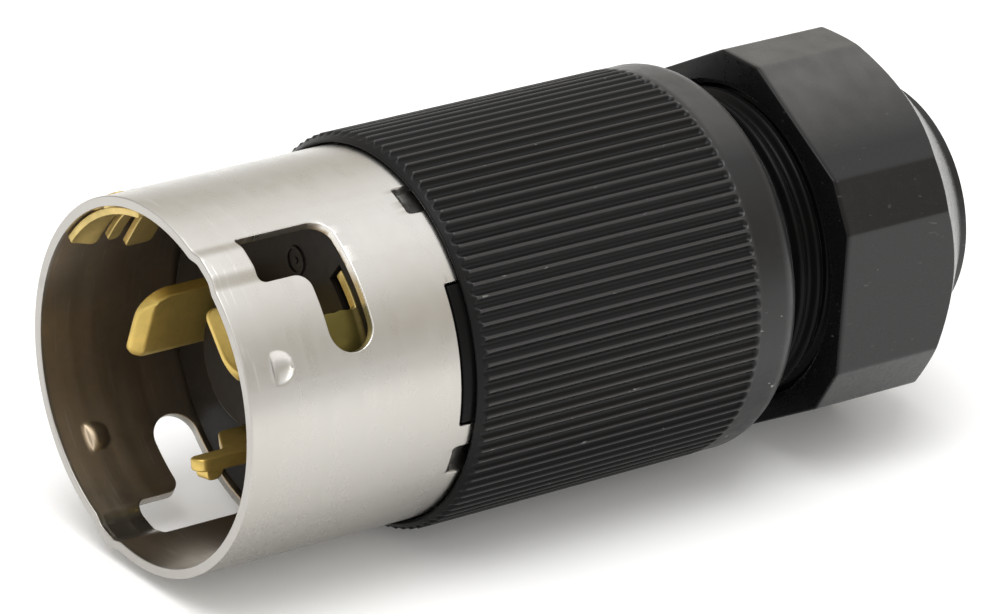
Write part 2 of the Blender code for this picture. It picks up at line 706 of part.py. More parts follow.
def clip_outline():
    """The unrolled clip: a spine along the shell, three fingers round it, and a strap to the earth clamp."""
    radius = CLIP_OUTER - CLIP_THICK / 2

    def flat(angle_deg):
        return radius * math.radians(angle_deg)

    low = flat(CLIP_FROM_DEG)
    spine = flat(CLIP_SPINE_TO_DEG)
    strap = spine - 0.0002
    outline = [(low, CLIP_FRONT)]
    for front, back, reach_deg in CLIP_FINGERS:
        outline += [(spine, front)] if front > CLIP_FRONT else []
        outline += [(flat(reach_deg), front), (flat(reach_deg), back), (spine, back)]
    outline += [(strap, 0.0160), (strap, CLAMP_FRONT - GAP), (low, CLAMP_FRONT - GAP)]
    return outline


def clip_lift(angle_deg, depth):
    """Lifts the contact bump out through the shell's window and bends the strap in to the earth clamp."""
    if WINDOW_FROM_DEG + 2 < angle_deg < WINDOW_TO_DEG - 2 and 0.0034 < depth < 0.0046:
        return CLIP_BUMP_LIFT
    bend_end = CLAMP_FRONT - GAP
    if depth > STRAP_BEND_START:
        return -STRAP_BEND_DROP * (depth - STRAP_BEND_START) / (bend_end - STRAP_BEND_START)
    return 0.0


def make_earth_clip():
    radius = CLIP_OUTER - CLIP_THICK / 2
    bm = plate_from_outlines("earth_clip", [clip_outline()], CLIP_THICK)
    count = int((CLIP_TO_DEG - CLIP_FROM_DEG) / CLIP_STEP_DEG)
    angles = [CLIP_FROM_DEG + CLIP_STEP_DEG * (i + 1) for i in range(count)]
    angles += [WINDOW_FROM_DEG + 1.0, WINDOW_TO_DEG - 1.0]
    slice_plate(bm, 0, [radius * math.radians(angle) for angle in sorted(angles)])
    slice_plate(bm, 1, [0.0035, 0.0045, STRAP_BEND_START])
    roll_plate(bm, radius, clip_lift)
    return place(object_of("earth_clip", mesh_from(bm, "earth_clip")), "clip_brass", 30.0)


# Grip housing


def rib_ring():
    """The knurled band: straight ribs with flat tops and sloped flanks."""
    pitch = 360.0 / GRIP_RIBS
    shares = [(-RIB_FOOT_SHARE, GRIP_ROOT_RADIUS), (-RIB_TOP_SHARE, GRIP_TIP_RADIUS)]
    shares += [(RIB_TOP_SHARE, GRIP_TIP_RADIUS), (RIB_FOOT_SHARE, GRIP_ROOT_RADIUS)]
    outline = []
    for rib in range(GRIP_RIBS):
        for share, radius in shares:
            angle = math.radians(pitch * (rib + share))
            outline.append((radius * math.cos(angle), radius * math.sin(angle)))
    turns = [math.tau * i / HOUSING_STEPS for i in range(HOUSING_STEPS)]
    hole = [(RIB_RING_INNER * math.cos(turn), -RIB_RING_INNER * math.sin(turn)) for turn in turns]
    bm = plate_from_outlines("rib_ring", [outline, hole], GRIP_BACK - GRIP_FRONT)
    bmesh.ops.translate(bm, vec=(0, 0, height((GRIP_BACK + GRIP_FRONT) / 2)), verts=bm.verts)
    return object_of("rib_ring", mesh_from(bm, "rib_ring"))


def housing_outline():
    """Outer side from the front lip to the neck's end, then the bore back to the shell's seat."""
    front = GRIP_FRONT + 0.0002
    outline = [(GRIP_ROOT_RADIUS - 0.0003, front), (GRIP_ROOT_RADIUS - 0.0003, GRIP_BACK - 0.0002)]
    outline += [(SHOULDER_RADIUS, GRIP_BACK - 0.0002), (SHOULDER_RADIUS, SHOULDER_BACK)]
    centre = (SHOULDER_RADIUS - SHOULDER_ROUND - 0.0001, SHOULDER_BACK + 0.0010)
    outline += arc(centre, SHOULDER_ROUND, 0, 70, 5)[1:]
    outline += [(GROOVE_RADIUS, GROOVE_DEPTH), (NECK_ROOT, GROOVE_DEPTH + 0.0004)]
    for crest in range(THREAD_CRESTS):
        at = THREAD_FIRST + crest * THREAD_PITCH
        outline += [(NECK_ROOT, at - THREAD_PITCH / 2 + 0.0002)]
        outline += [(NECK_CREST, at - 0.0003), (NECK_CREST, at + 0.0003)]
    outline += [(NECK_ROOT, NECK_BACK), (NECK_BORE, NECK_BACK), (NECK_BORE, GROMMET_SEAT)]
    outline += [(CORD_WAY, CORD_WAY_BACK), (CORD_WAY, CORD_WAY_FRONT), (HOUSING_BORE, BORE_BACK)]
    outline += [(HOUSING_BORE, SHELL_SEAT)]
    outline += [(SHELL_RADIUS + GAP, SHELL_SEAT), (SHELL_RADIUS + GAP, front)]
    return outline


def make_grip_housing():
    """The knurled grip, its threaded neck, and the key that stops the shell from turning in it."""
    obj = turned("grip_housing", housing_outline(), HOUSING_STEPS)
    join(obj, rib_ring())
    low = KEY_FROM_DEG + KEY_MARGIN_DEG
    high = KEY_TO_DEG - KEY_MARGIN_DEG
    front = KEY_FRONT + GAP
    root_front = GRIP_FRONT + 0.0006
    join(obj, sector("key", KEY_INNER, KEY_OUTER, front, SHELL_SEAT + 0.0005, low, high, 9))
    root_back = SHELL_SEAT + 0.0010
    join(obj, sector("key_root", KEY_ROOT_INNER, KEY_ROOT_OUTER, root_front, root_back, low, high, 9))
    return place(obj, "housing_black")


# Cord gland


def nut_prism():
    """The nut's twelve flats: six wide ones and six narrow ones, with a narrow one straight up and down."""
    corner_radius = REST_RADIUS / math.cos(math.radians(NUT_SHORT_HALF_DEG))
    outline = []
    for flat in range(6):
        for side in (-1, 1):
            angle = math.radians(30.0 + 60.0 * flat + side * NUT_SHORT_HALF_DEG)
            outline.append((corner_radius * math.cos(angle), corner_radius * math.sin(angle)))
    bm = plate_from_outlines("nut_prism", [outline], LENGTH - NUT_FRONT)
    bmesh.ops.translate(bm, vec=(0, 0, (LENGTH - NUT_FRONT) / 2), verts=bm.verts)
    return object_of("nut_prism", mesh_from(bm, "nut_prism"))


def make_gland_nut():
    """The nut as turned stock, bored out, with its flats milled by the prism."""
    outline = [(NUT_STOCK, NUT_FRONT - 0.0010), (NUT_STOCK, NUT_CONE_START), (NUT_REAR_RADIUS, LENGTH)]
    outline += [(NUT_CORD_HOLE + 0.0010, LENGTH), (NUT_CORD_HOLE, LENGTH - 0.0010)]
    outline += [(NUT_CORD_HOLE, NUT_SHOULDER)]
    outline += [(NUT_BORE, NUT_SHOULDER), (NUT_BORE, NUT_FRONT + 0.0009), (NUT_MOUTH, NUT_FRONT)]
    outline += [(NUT_MOUTH, NUT_FRONT - 0.0010)]
    obj = turned("gland_nut", outline, FINE_STEPS)
    boolean(obj, hide_cutter(nut_prism()), "INTERSECT")
    return place(obj, "nut_black")


def make_slip_washer():
    back = WASHER_FRONT + WASHER_THICK
    outline = [(WASHER_OUTER, WASHER_FRONT), (WASHER_OUTER, back)]
    outline += [(WASHER_HOLE, back), (WASHER_HOLE, WASHER_FRONT)]
    return place(turned("slip_washer", outline, PLAIN_STEPS), "washer_nylon")


def make_cord_grommet():
    """The rubber bush: a tapered nose that the neck's seat squeezes on the cord."""
    back = WASHER_FRONT - GAP
    nose = (GROMMET_RADIUS - GROMMET_NOSE_DROP, GROMMET_FRONT)
    outline = [nose, (GROMMET_RADIUS, GROMMET_FRONT + GROMMET_NOSE), (GROMMET_RADIUS, back)]
    outline += [(GROMMET_HOLE + GROMMET_EASE, back), (GROMMET_HOLE, back - GROMMET_EASE)]
    outline += [(GROMMET_HOLE, GROMMET_FRONT + GROMMET_EASE), (GROMMET_HOLE + GROMMET_EASE, GROMMET_FRONT)]
    return place(turned("cord_grommet", outline, PLAIN_STEPS), "grommet_rubber")


def make_plug():
    make_shell()
    make_earth_clip()
    for name, angle_deg in BLADE_ANGLES.items():
        make_blade(name, angle_deg, name == "blade_neutral")
    make_face_insulator()
    make_slot_contact()
    make_terminal_body()
    for name, angle_deg in ASSEMBLY_ANGLES.items():
        make_assembly_screw(name, angle_deg)
    for pole, angle_deg in TERMINALS.items():
        make_clamp(f"clamp_{pole}", angle_deg)
        make_plate(f"pressure_plate_{pole}", angle_deg)
        finish = "earth_screw_green" if pole == "earth" else "screw_steel"
        make_terminal_screw(f"terminal_screw_{pole}", angle_deg, finish)
    make_grip_housing()
    make_gland_nut()
    make_slip_washer()
    make_cord_grommet()


make_plug()
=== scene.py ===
import json
import math

import bmesh
import bpy
from mathutils import Matrix, Vector

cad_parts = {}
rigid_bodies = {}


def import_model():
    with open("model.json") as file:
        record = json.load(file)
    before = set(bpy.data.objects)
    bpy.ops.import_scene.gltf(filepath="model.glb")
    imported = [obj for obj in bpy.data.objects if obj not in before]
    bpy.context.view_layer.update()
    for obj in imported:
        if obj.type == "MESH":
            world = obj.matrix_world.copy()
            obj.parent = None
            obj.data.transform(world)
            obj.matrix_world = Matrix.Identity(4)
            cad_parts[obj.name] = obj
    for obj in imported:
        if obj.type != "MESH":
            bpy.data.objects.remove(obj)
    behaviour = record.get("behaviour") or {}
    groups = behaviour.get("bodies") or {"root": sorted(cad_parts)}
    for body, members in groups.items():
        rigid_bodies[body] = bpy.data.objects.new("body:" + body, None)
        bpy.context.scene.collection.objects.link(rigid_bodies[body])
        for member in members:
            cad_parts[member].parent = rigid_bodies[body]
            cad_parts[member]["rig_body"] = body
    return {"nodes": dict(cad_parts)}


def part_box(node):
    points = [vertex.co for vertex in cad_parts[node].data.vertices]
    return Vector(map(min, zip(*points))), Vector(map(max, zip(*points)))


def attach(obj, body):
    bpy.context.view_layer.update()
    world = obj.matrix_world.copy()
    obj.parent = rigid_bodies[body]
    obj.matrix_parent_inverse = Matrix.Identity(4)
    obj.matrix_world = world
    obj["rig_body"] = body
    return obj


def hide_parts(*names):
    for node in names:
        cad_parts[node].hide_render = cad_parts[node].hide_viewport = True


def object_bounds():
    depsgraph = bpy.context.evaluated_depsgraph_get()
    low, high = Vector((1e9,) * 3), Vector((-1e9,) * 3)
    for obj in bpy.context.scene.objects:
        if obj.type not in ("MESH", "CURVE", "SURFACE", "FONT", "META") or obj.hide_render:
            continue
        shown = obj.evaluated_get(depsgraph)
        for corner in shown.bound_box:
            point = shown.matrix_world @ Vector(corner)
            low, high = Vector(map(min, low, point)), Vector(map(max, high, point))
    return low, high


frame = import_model()
CAD_LOW, CAD_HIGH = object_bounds()

# Lengths are metres. A depth is measured from the mating rim towards the cord, and an angle is measured
# about the plug's axis, anticlockwise as seen by someone who looks into the shell.
RIM_Y = CAD_LOW.y
LENGTH = CAD_HIGH.y - CAD_LOW.y
AXIS_Z = (CAD_LOW.z + CAD_HIGH.z) / 2
REST_RADIUS = AXIS_Z - CAD_LOW.z

# Steel shell
SHELL_RADIUS = 0.0262
SHELL_WALL = 0.0014
SHELL_MIDDLE = SHELL_RADIUS - SHELL_WALL / 2
SHELL_DEPTH = 0.0440
SHELL_EDGE = 0.00018
SLOT_START_DEG = 66.7
SLOT_TURN_DEG = 42.5
SLOT_TURNS = (0.0, -164.8)
SLOT_LEG_WIDTH = 0.0072
SLOT_FRONT = 0.0069
SLOT_REAR = 0.0213
SLOT_RUN_WIDTH = 0.0069
CHANNEL_LIFT = 0.0007
CHANNEL_FLANK = 0.0024
DIMPLE_FROM_DEG = -46.4
DIMPLE_SPAN_DEG = 9.8
DIMPLE_FRONT = 0.0044
DIMPLE_STEP = 0.0003
DIMPLE_DEEPEST = 0.0055
DIMPLE_BACK = 0.0078
DIMPLE_DROP = 0.00065
DIMPLE_STEP_SHARE = 0.45
STAKE_ANGLES = (66.5, -19.7)
STAKE_HALF_WIDTH = 0.0021
STAKE_FRONT = 0.0338
STAKE_DROP = 0.0010
STAKE_EASE = 0.0003
STAKE_RAMP = 0.0010
KEY_FROM_DEG = -6.8
KEY_TO_DEG = 37.1
KEY_FRONT = 0.0340
WINDOW_FROM_DEG = 113.0
WINDOW_TO_DEG = 126.0
WINDOW_FRONT = 0.0010
WINDOW_REAR = 0.0054

# Blades
BLADE_ANGLES = {"blade_line_x": 162.3, "blade_line_y": 42.3, "blade_neutral": -77.7}
BLADE_INNER = 0.0102
BLADE_THICK = 0.0021
BLADE_WIDTH = 0.0108
BLADE_TIP = 0.0062
BLADE_TAPER = 0.0019
BLADE_BACK = 0.0330
BLADE_EDGE = 0.00035
BLADE_THINNING = 0.62
BLADE_GROUND = 0.0013
NOSE_TIP = 0.0046
NOSE_WIDTH = 0.0030
NOSE_BACK = 0.0104
NOSE_SHOULDER_BACK = 0.0150
HOOK_START = 0.0058
HOOK_LENGTH = 0.0031
HOOK_REACH = 0.0032
HOOK_WIDTH = 0.0027

# Face insulator
FACE_DEPTH = 0.0218
FACE_BACK = 0.0337
FACE_RADIUS = 0.0244
HUB_DEPTH = 0.0160
HUB_RADIUS = 0.0090
CONTACT_INNER = 0.0212
CONTACT_THICK = 0.0014
CONTACT_MIDDLE = CONTACT_INNER + CONTACT_THICK / 2
CONTACT_FROM_DEG = 14.5
CONTACT_TAB_TO_DEG = 38.2
CONTACT_TO_DEG = 52.0
CONTACT_TIP = 0.0150
CONTACT_BACK = 0.0300
POCKET_INNER = 0.0196
POCKET_OUTER = 0.0231
POCKET_MARGIN_DEG = 1.5
STRAP_SLOT = (0.0044, 0.0108)
MARK_AT = (0.0159, 75.9)
MARK_RADIUS = 0.0021
MARK_HOLE = 0.0016
MARK_DOT = 0.0005

# Earth clip
CLIP_OUTER = 0.0245
CLIP_THICK = 0.0010
CLIP_MIDDLE = CLIP_OUTER - CLIP_THICK / 2
CLIP_FRONT = 0.0008
CLIP_FROM_DEG = 98.0
CLIP_SPINE_TO_DEG = 118.0
CLIP_TO_DEG = 150.0
CLIP_SPINE_BACK = 0.0160
CLIP_FINGERS = ((CLIP_FRONT, 0.0048, 145.0), (0.0058, 0.0078, 143.0), (0.0098, 0.0142, CLIP_TO_DEG))
FINGER_GAP = 0.0053
FINGER_SET = 0.0012
FIRST_FINGER_SET = 0.0008
CLIP_BUMP_DEG = 119.5
CLIP_BUMP_DEPTH = 0.0035
CLIP_BUMP_LIFT = 0.0018
STRAP_BACK = 0.0400
STRAP_BEND_START = 0.0350
STRAP_BEND_END = 0.0410
STRAP_BEND_DROP = 0.0056

# Grip housing
GRIP_FRONT = 0.0361
GRIP_LIP = 0.0266
GRIP_BACK = 0.0840
GRIP_TIP_RADIUS = 0.0279
GRIP_ROOT_RADIUS = 0.0273
GRIP_RIBS = 94
GRIP_CHAMFER = ((GRIP_FRONT, 0.0268), (0.0366, 0.0272), (0.0375, GRIP_TIP_RADIUS))
RIB_PHASES = (0.0, 0.035, 0.06, 0.12, 0.22, 0.35, 0.5, 0.65, 0.78, 0.88, 0.94, 0.965)
FLUTE_HALF = 0.46
FLUTE_END = 0.0008
FLUTE_EASE = 1.4
SHOULDER_RADIUS = 0.02785
SHOULDER_BACK = 0.0868
SHOULDER_ROUND = 0.0040
GROOVE_RADIUS = 0.0236
GROOVE_DEPTH = 0.0924
HOUSING_HOLE = 0.0180
HOUSING_BORE = 0.0246
HOUSING_BORE_BACK = 0.0815
SHELL_SEAT = 0.0443
NECK_CREST = 0.0224
NECK_ROOT = 0.0212
NECK_FRONT = 0.0922
NECK_BACK = 0.1120
NECK_BORE = 0.0194
GROMMET_SEAT = 0.0965
CORD_WAY = 0.0165
CORD_WAY_BACK = 0.0930
THREAD_FIRST = 0.0956
THREAD_PITCH = 0.00305
THREAD_TURN_DEG = 37.0
THREAD_FLANK = (0.16, 0.80)

# Gland
NUT_FRONT = 0.0998
NUT_SHORT_HALF_DEG = 8.1
NUT_CORNER_DEG = 1.2
NUT_STEP_DEG = 2.2
NUT_BORE = 0.0229
NUT_MOUTH = 0.0236
NUT_SHOULDER = 0.1197
NUT_CORD_HOLE = 0.0150
NUT_COLLAR_RADIUS = 0.0182
NUT_COLLAR_FRONT = 0.1282
NUT_CONE_START = 0.1185
WASHER_HOLE = 0.0153
GROMMET_HOLE = 0.0134
GROMMET_RIDGES = 4


def around(radius, angle_deg, depth):
    angle = math.radians(angle_deg)
    return Vector((radius * math.cos(angle), RIM_Y + depth, AXIS_Z + radius * math.sin(angle)))


def directions(angle_deg):
    """Straight out from the plug's axis, and along the tangent, at this angle."""
    centre = around(0.0, 0.0, 0.0)
    return around(1.0, angle_deg, 0.0) - centre, around(1.0, angle_deg + 90.0, 0.0) - centre


def wrapped(angle_deg):
    return (angle_deg + 180.0) % 360.0 - 180.0


def smooth(value, low, high):
    """0 below low, 1 above high, and a soft step between them."""
    share = min(1.0, max(0.0, (value - low) / (high - low)))
    return share * share * (3.0 - 2.0 * share)


# Making meshes


def in_scene(obj):
    bpy.context.scene.collection.objects.link(obj)
    return obj


def even_normals(obj):
    modifier = obj.modifiers.new("weighted_normals", "WEIGHTED_NORMAL")
    modifier.keep_sharp = False
    return modifier


def ease_edges(obj, width):
    modifier = obj.modifiers.new("eased", "BEVEL")
    modifier.width = width
    modifier.segments = 2
    modifier.limit_method = "ANGLE"
    modifier.angle_limit = math.radians(40)


def mesh_of(bm, name):
    """The mesh of a closed form, its faces turned outwards."""
    bmesh.ops.recalc_face_normals(bm, faces=bm.faces)
    if bm.calc_volume(signed=True) < 0:
        bmesh.ops.reverse_faces(bm, faces=bm.faces)
    mesh_data = bpy.data.meshes.new(name)
    bm.to_mesh(mesh_data)
    bm.free()
    return mesh_data


def finished(name, mesh_data, finish, node):
    """Hands a finished mesh to the frame: it rides on its node's body and stands for that node."""
    obj = in_scene(bpy.data.objects.new(name, mesh_data))
    obj.data.materials.append(finish)
    obj.data.shade_smooth()
    even_normals(obj).weight = 60
    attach(obj, frame["nodes"][node]["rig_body"])
    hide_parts(node)


def piece(name, bm, finish, node):
    """The same for a closed form."""
    finished(name, mesh_of(bm, name), finish, node)


def filleted(corners):
    """A closed outline with round corners, from (x, y, corner radius) points."""
    most_of_side = 0.45
    step_deg = 18
    points = []
    for i, (x, y, radius) in enumerate(corners):
        here = Vector((x, y))
        back = Vector(corners[i - 1][:2]) - here
        ahead = Vector(corners[(i + 1) % len(corners)][:2]) - here
        half = back.angle(ahead, math.pi) / 2
        if radius <= 0.0 or half > math.radians(89.5):
            points.append((x, y))
            continue
        reach = min(radius / math.tan(half), most_of_side * back.length, most_of_side * ahead.length)
        inward = (back.normalized() + ahead.normalized()).normalized()
        centre = here + inward * (reach * math.tan(half) / math.sin(half))
        start = here + back.normalized() * reach - centre
        end = here + ahead.normalized() * reach - centre
        turn = math.pi - 2 * half
        steps = max(2, math.ceil(math.degrees(turn) / step_deg))
        for step in range(steps + 1):
            share = step / steps
            along = (start * math.sin((1 - share) * turn) + end * math.sin(share * turn)) / math.sin(turn)
            points.append(tuple(centre + along))
    return points


def ring(radius, depth, angles):
    return [around(radius, angle, depth) for angle in angles]


def ring_form(rings):
    """Faces between rings of points. Each ring is closed, and the last ring meets the first."""
    bm = bmesh.new()
    rows = [[bm.verts.new(point) for point in points] for points in rings]
    for below, above in zip(rows, rows[1:] + rows[:1]):
        for i in range(len(below)):
            n = (i + 1) % len(below)
            bm.faces.new((below[i], below[n], above[n], above[i]))
    return bm


def turned(corners, steps=120):
    """A turned form from a closed outline of (radius, depth, corner radius)."""
    angles = [360.0 * i / steps for i in range(steps)]
    return ring_form([ring(radius, depth, angles) for radius, depth in filleted(corners)])


def arc(centre, radius, start_deg, end_deg, count):
    points = []
    for i in range(count + 1):
        angle = math.radians(start_deg + (end_deg - start_deg) * i / count)
        points.append((centre[0] + radius * math.cos(angle), centre[1] + radius * math.sin(angle)))
    return points


def evaluated_mesh(obj):
    """A new mesh of the object as it stands, its modifiers applied."""
    bpy.context.view_layer.update()
    return bpy.data.meshes.new_from_object(obj.evaluated_get(bpy.context.evaluated_depsgraph_get()))


def sheet_metal(outlines, thickness, edge):
    """A flat blank with eased edges, centred on its plane: one outline is its edge, the rest are holes."""
    curve = bpy.data.curves.new("blank", "CURVE")
    curve.dimensions = "2D"
    curve.fill_mode = "BOTH"
    curve.bevel_depth = edge
    curve.bevel_resolution = 2
    curve.extrude = thickness / 2 - edge
    curve.offset = -edge
    for outline in outlines:
        spline = curve.splines.new("POLY")
        spline.points.add(len(outline) - 1)
        for point, (x, y) in zip(spline.points, outline):
            point.co = (x, y, 0.0, 1.0)
        spline.use_cyclic_u = True
    source = in_scene(bpy.data.objects.new("blank", curve))
    mesh_data = evaluated_mesh(source)
    bpy.data.objects.remove(source, do_unlink=True)
    bpy.data.curves.remove(curve)
    bm = bmesh.new()
    bm.from_mesh(mesh_data)
    bpy.data.meshes.remove(mesh_data)
    bmesh.ops.remove_doubles(bm, verts=bm.verts, dist=0.000002)
    return bm


def score(bm, axis, lines):
    """Adds edge lines across a blank, so that it can bend there."""
    normal = (1.0, 0.0, 0.0) if axis == 0 else (0.0, 1.0, 0.0)
    for line in sorted(lines):
        point = (line, 0.0, 0.0) if axis == 0 else (0.0, line, 0.0)
        geometry = bm.verts[:] + bm.edges[:] + bm.faces[:]
        bmesh.ops.bisect_plane(bm, geom=geometry, dist=0.000002, plane_co=point, plane_no=normal)


def merge_flat_faces(bm):
    """Removes the slanting edges that a fill leaves on the two flat sides of a blank."""
    bm.normal_update()
    slanting = []
    for edge in bm.edges:
        if len(edge.link_faces) != 2 or any(abs(face.normal.z) < 0.999 for face in edge.link_faces):
            continue
        along = edge.verts[1].co - edge.verts[0].co
        if abs(along.x) > 0.000003 and abs(along.y) > 0.000003:
            slanting.append(edge)
    bmesh.ops.dissolve_edges(bm, edges=slanting, use_verts=False)
    loose = [vert for vert in bm.verts if len(vert.link_edges) == 2]
    bmesh.ops.dissolve_verts(bm, verts=loose)


def spaced(low, high, step):
    count = max(1, round((high - low) / step))
    return [low + (high - low) * i / count for i in range(count + 1)]


def roll(bm, radius, lift=None):
    """Rolls a blank (x = arc at this radius, y = depth) about the plug's axis; lift moves it in or out."""
    for vert in bm.verts:
        arc_at, depth, out = vert.co
        lifted = lift(arc_at, depth) if lift else 0.0
        vert.co = around(radius + out + lifted, math.degrees(arc_at / radius), depth)


# Making materials


def feed(node, inputs):
    """Sets a node's inputs: a socket is linked, and a plain value is set."""
    for key, value in inputs.items():
        if isinstance(value, bpy.types.NodeSocket):
            node.id_data.links.new(value, node.inputs[key])
        else:
            node.inputs[key].default_value = value


def add(tree, kind, inputs, **settings):
    made = tree.nodes.new(kind)
    for key, value in settings.items():
        setattr(made, key, value)
    feed(made, inputs)
    return made


def new_material(name):
    material = bpy.data.materials.new(name)
    material.use_nodes = True
    return material, material.node_tree


def shader_of(material):
    return material.node_tree.nodes["Principled BSDF"]


def coat(material, colour, rough, normal, metallic=0.0):
    """Gives a material its base colour, its roughness and its relief."""
    inputs = {"Base Color": colour, "Roughness": rough, "Normal": normal, "Metallic": metallic}
    feed(shader_of(material), inputs)


def own_place(tree):
    """Where a point lies in its row's own frame, so that a pattern moves with its piece."""
    return add(tree, "ShaderNodeTexCoord", {}).outputs["Object"]


def split_place(tree):
    return add(tree, "ShaderNodeSeparateXYZ", {"Vector": own_place(tree)}).outputs


def places(tree, scale=(1.0, 1.0, 1.0)):
    """A point's place, scaled: uneven scales draw a pattern out along one axis."""
    return add(tree, "ShaderNodeMapping", {"Vector": own_place(tree), "Scale": scale}).outputs["Vector"]


def grain(vector, scale, detail, roughness, distortion=0.0):
    inputs = {"Vector": vector, "Scale": scale, "Detail": detail}
    inputs.update({"Roughness": roughness, "Distortion": distortion})
    return add(vector.id_data, "ShaderNodeTexNoise", inputs).outputs["Fac"]


def span(value, low, high, to_low=0.0, to_high=1.0):
    """A value's place between low and high, as a value between to_low and to_high."""
    inputs = {"Value": value, "From Min": low, "From Max": high, "To Min": to_low, "To Max": to_high}
    return add(value.id_data, "ShaderNodeMapRange", inputs, clamp=True).outputs["Result"]


def math_node(operation, first, second=0.0):
    return add(first.id_data, "ShaderNodeMath", {0: first, 1: second}, operation=operation).outputs[0]


def times(first, second):
    return math_node("MULTIPLY", first, second)


def plus(first, second):
    return math_node("ADD", first, second)


def mixed(share, first, second):
    """A colour between two, each given as (r, g, b) or as a socket."""
    ends = [end if isinstance(end, bpy.types.NodeSocket) else (*end, 1.0) for end in (first, second)]
    inputs = {0: share, 6: ends[0], 7: ends[1]}
    return add(share.id_data, "ShaderNodeMix", inputs, data_type="RGBA").outputs[2]


def overlay(material, share, colour):
    """Lays one more colour over a material's base colour."""
    shader = shader_of(material)
    below = shader.inputs["Base Color"].links[0].from_socket
    feed(shader, {"Base Color": mixed(share, below, colour)})


def shaded(colour, share):
    return tuple(share * part for part in colour)


def bump(height, distance, before=None):
    inputs = {"Height": height, "Distance": distance, "Strength": 1.0}
    if before is not None:
        inputs["Normal"] = before
    return add(height.id_data, "ShaderNodeBump", inputs).outputs["Normal"]


def radius_socket(tree):
    """The distance from the plug's axis, in metres."""
    x, _, z = split_place(tree)
    lifted = math_node("SUBTRACT", z, AXIS_Z)
    return math_node("SQRT", plus(times(x, x), times(lifted, lifted)))


def depth_socket(tree):
    return math_node("SUBTRACT", split_place(tree)["Y"], RIM_Y)


def underside_shade_socket(tree):
    """0 on the plug's upper part, and 0.95 low down: the mask for painted shade on its underside."""
    return span(split_place(tree)["Z"], AXIS_Z - 0.012, AXIS_Z + 0.021, 0.95, 0.0)


def satin_nickel():
    """Nickel plate over rolled steel: fine marks round the shell, faint stains, scuffs near the mouth."""
    material, tree = new_material("satin_nickel_plate")
    plain = places(tree)
    depth = depth_socket(tree)
    stains = grain(plain, 60.0, 2.0, 0.4)
    clouds = grain(plain, 420.0, 5.0, 0.6)
    pits = grain(plain, 3800.0, 2.0, 0.5)
    fine_lines = grain(places(tree, (60.0, 5200.0, 60.0)), 1.0, 6.0, 0.65)
    wide_lines = grain(places(tree, (35.0, 500.0, 35.0)), 1.0, 2.0, 0.4)
    scratch = grain(places(tree, (140.0, 2600.0, 140.0)), 1.0, 2.0, 0.4, 0.6)
    inner = SHELL_RADIUS - SHELL_WALL
    on_rim = span(depth, 0.0002, 0.0008, 1.0, 0.0)
    outside = span(radius_socket(tree), inner + 0.00005, inner + 0.0003)
    outside = math_node("MAXIMUM", outside, on_rim)
    near_mouth = span(depth, 0.001, 0.012, 1.0, 0.25)
    scuffs = times(times(span(scratch, 0.64, 0.72), near_mouth), outside)
    specks = times(span(pits, 0.70, 0.78, 0.0, 0.4), outside)

    outer = mixed(span(stains, 0.38, 0.66), (0.715, 0.698, 0.662), (0.685, 0.657, 0.610))
    outer = mixed(span(clouds, 0.35, 0.75, 0.0, 0.4), outer, (0.735, 0.722, 0.698))
    outer = mixed(specks, outer, (0.47, 0.43, 0.37))
    outer = mixed(times(scuffs, 0.35), outer, (0.80, 0.79, 0.77))
    # Darker low down: painted shade on the shell's underside.
    outer = mixed(underside_shade_socket(tree), outer, (0.37, 0.355, 0.325))
    # Darker on the rim's front face: painted shade.
    outer = mixed(span(depth, 0.00003, 0.00025, 0.9, 0.0), outer, (0.47, 0.455, 0.43))
    lining = mixed(span(stains, 0.42, 0.58), (0.55, 0.44, 0.31), (0.42, 0.365, 0.30))
    lining = mixed(span(clouds, 0.35, 0.75, 0.0, 0.6), lining, (0.39, 0.33, 0.26))
    lining_scratch = times(span(scratch, 0.62, 0.72), 0.3)
    lining = mixed(lining_scratch, lining, (0.72, 0.68, 0.60))

    rough = span(wide_lines, 0.3, 0.7, 0.26, 0.31)
    rough = plus(rough, span(clouds, 0.3, 0.7, -0.02, 0.03))
    rough = plus(rough, times(scuffs, 0.12))
    rough = plus(rough, span(outside, 0.0, 1.0, 0.09, 0.0))
    rough = plus(rough, span(depth, 0.00003, 0.0004, 0.14, 0.0))
    relief = bump(scuffs, 0.000006, bump(fine_lines, 0.0000035))
    coat(material, mixed(outside, lining, outer), rough, relief, 1.0)
    return material


def stamped_brass(name, bright, dull, roughness):
    """Brass sheet: dulled in patches, with fine rolling lines and dark specks."""
    material, tree = new_material(name)
    plain = places(tree)
    patches = grain(plain, 260.0, 4.0, 0.6)
    spots = grain(plain, 1900.0, 3.0, 0.6)
    lines = grain(places(tree, (700.0, 90.0, 700.0)), 4.0, 4.0, 0.6)
    colour = mixed(span(patches, 0.35, 0.68), bright, dull)
    colour = mixed(span(spots, 0.66, 0.80, 0.0, 0.35), colour, shaded(dull, 0.55))
    rough = plus(span(lines, 0.3, 0.7, -0.05, 0.06), roughness)
    rough = plus(rough, span(patches, 0.35, 0.68, -0.03, 0.07))
    coat(material, colour, rough, bump(spots, 0.000003, bump(lines, 0.000005)), 0.80)
    return material


def contact_brass():
    """The slot contact's brass, painted dark olive where its tab stands clear of the insulator: painted
    shade inside the slot.
    """
    material = stamped_brass("contact_brass", (0.50, 0.38, 0.14), (0.36, 0.275, 0.09), 0.42)
    tree = material.node_tree
    # Dark olive on the clear tab: painted shade.
    tab_shade = span(depth_socket(tree), FACE_DEPTH - 0.0008, FACE_DEPTH - 0.0002, 0.9, 0.0)
    overlay(material, tab_shade, (0.098, 0.080, 0.015))
    return material


def plated_steel(name, colour):
    material, tree = new_material(name)
    plain = places(tree)
    patches = grain(plain, 500.0, 4.0, 0.6)
    fine = grain(plain, 4200.0, 3.0, 0.6)
    toned = mixed(span(patches, 0.3, 0.7), colour, shaded(colour, 0.72))
    coat(material, toned, span(fine, 0.3, 0.7, 0.26, 0.42), bump(fine, 0.000006), 1.0)
    return material


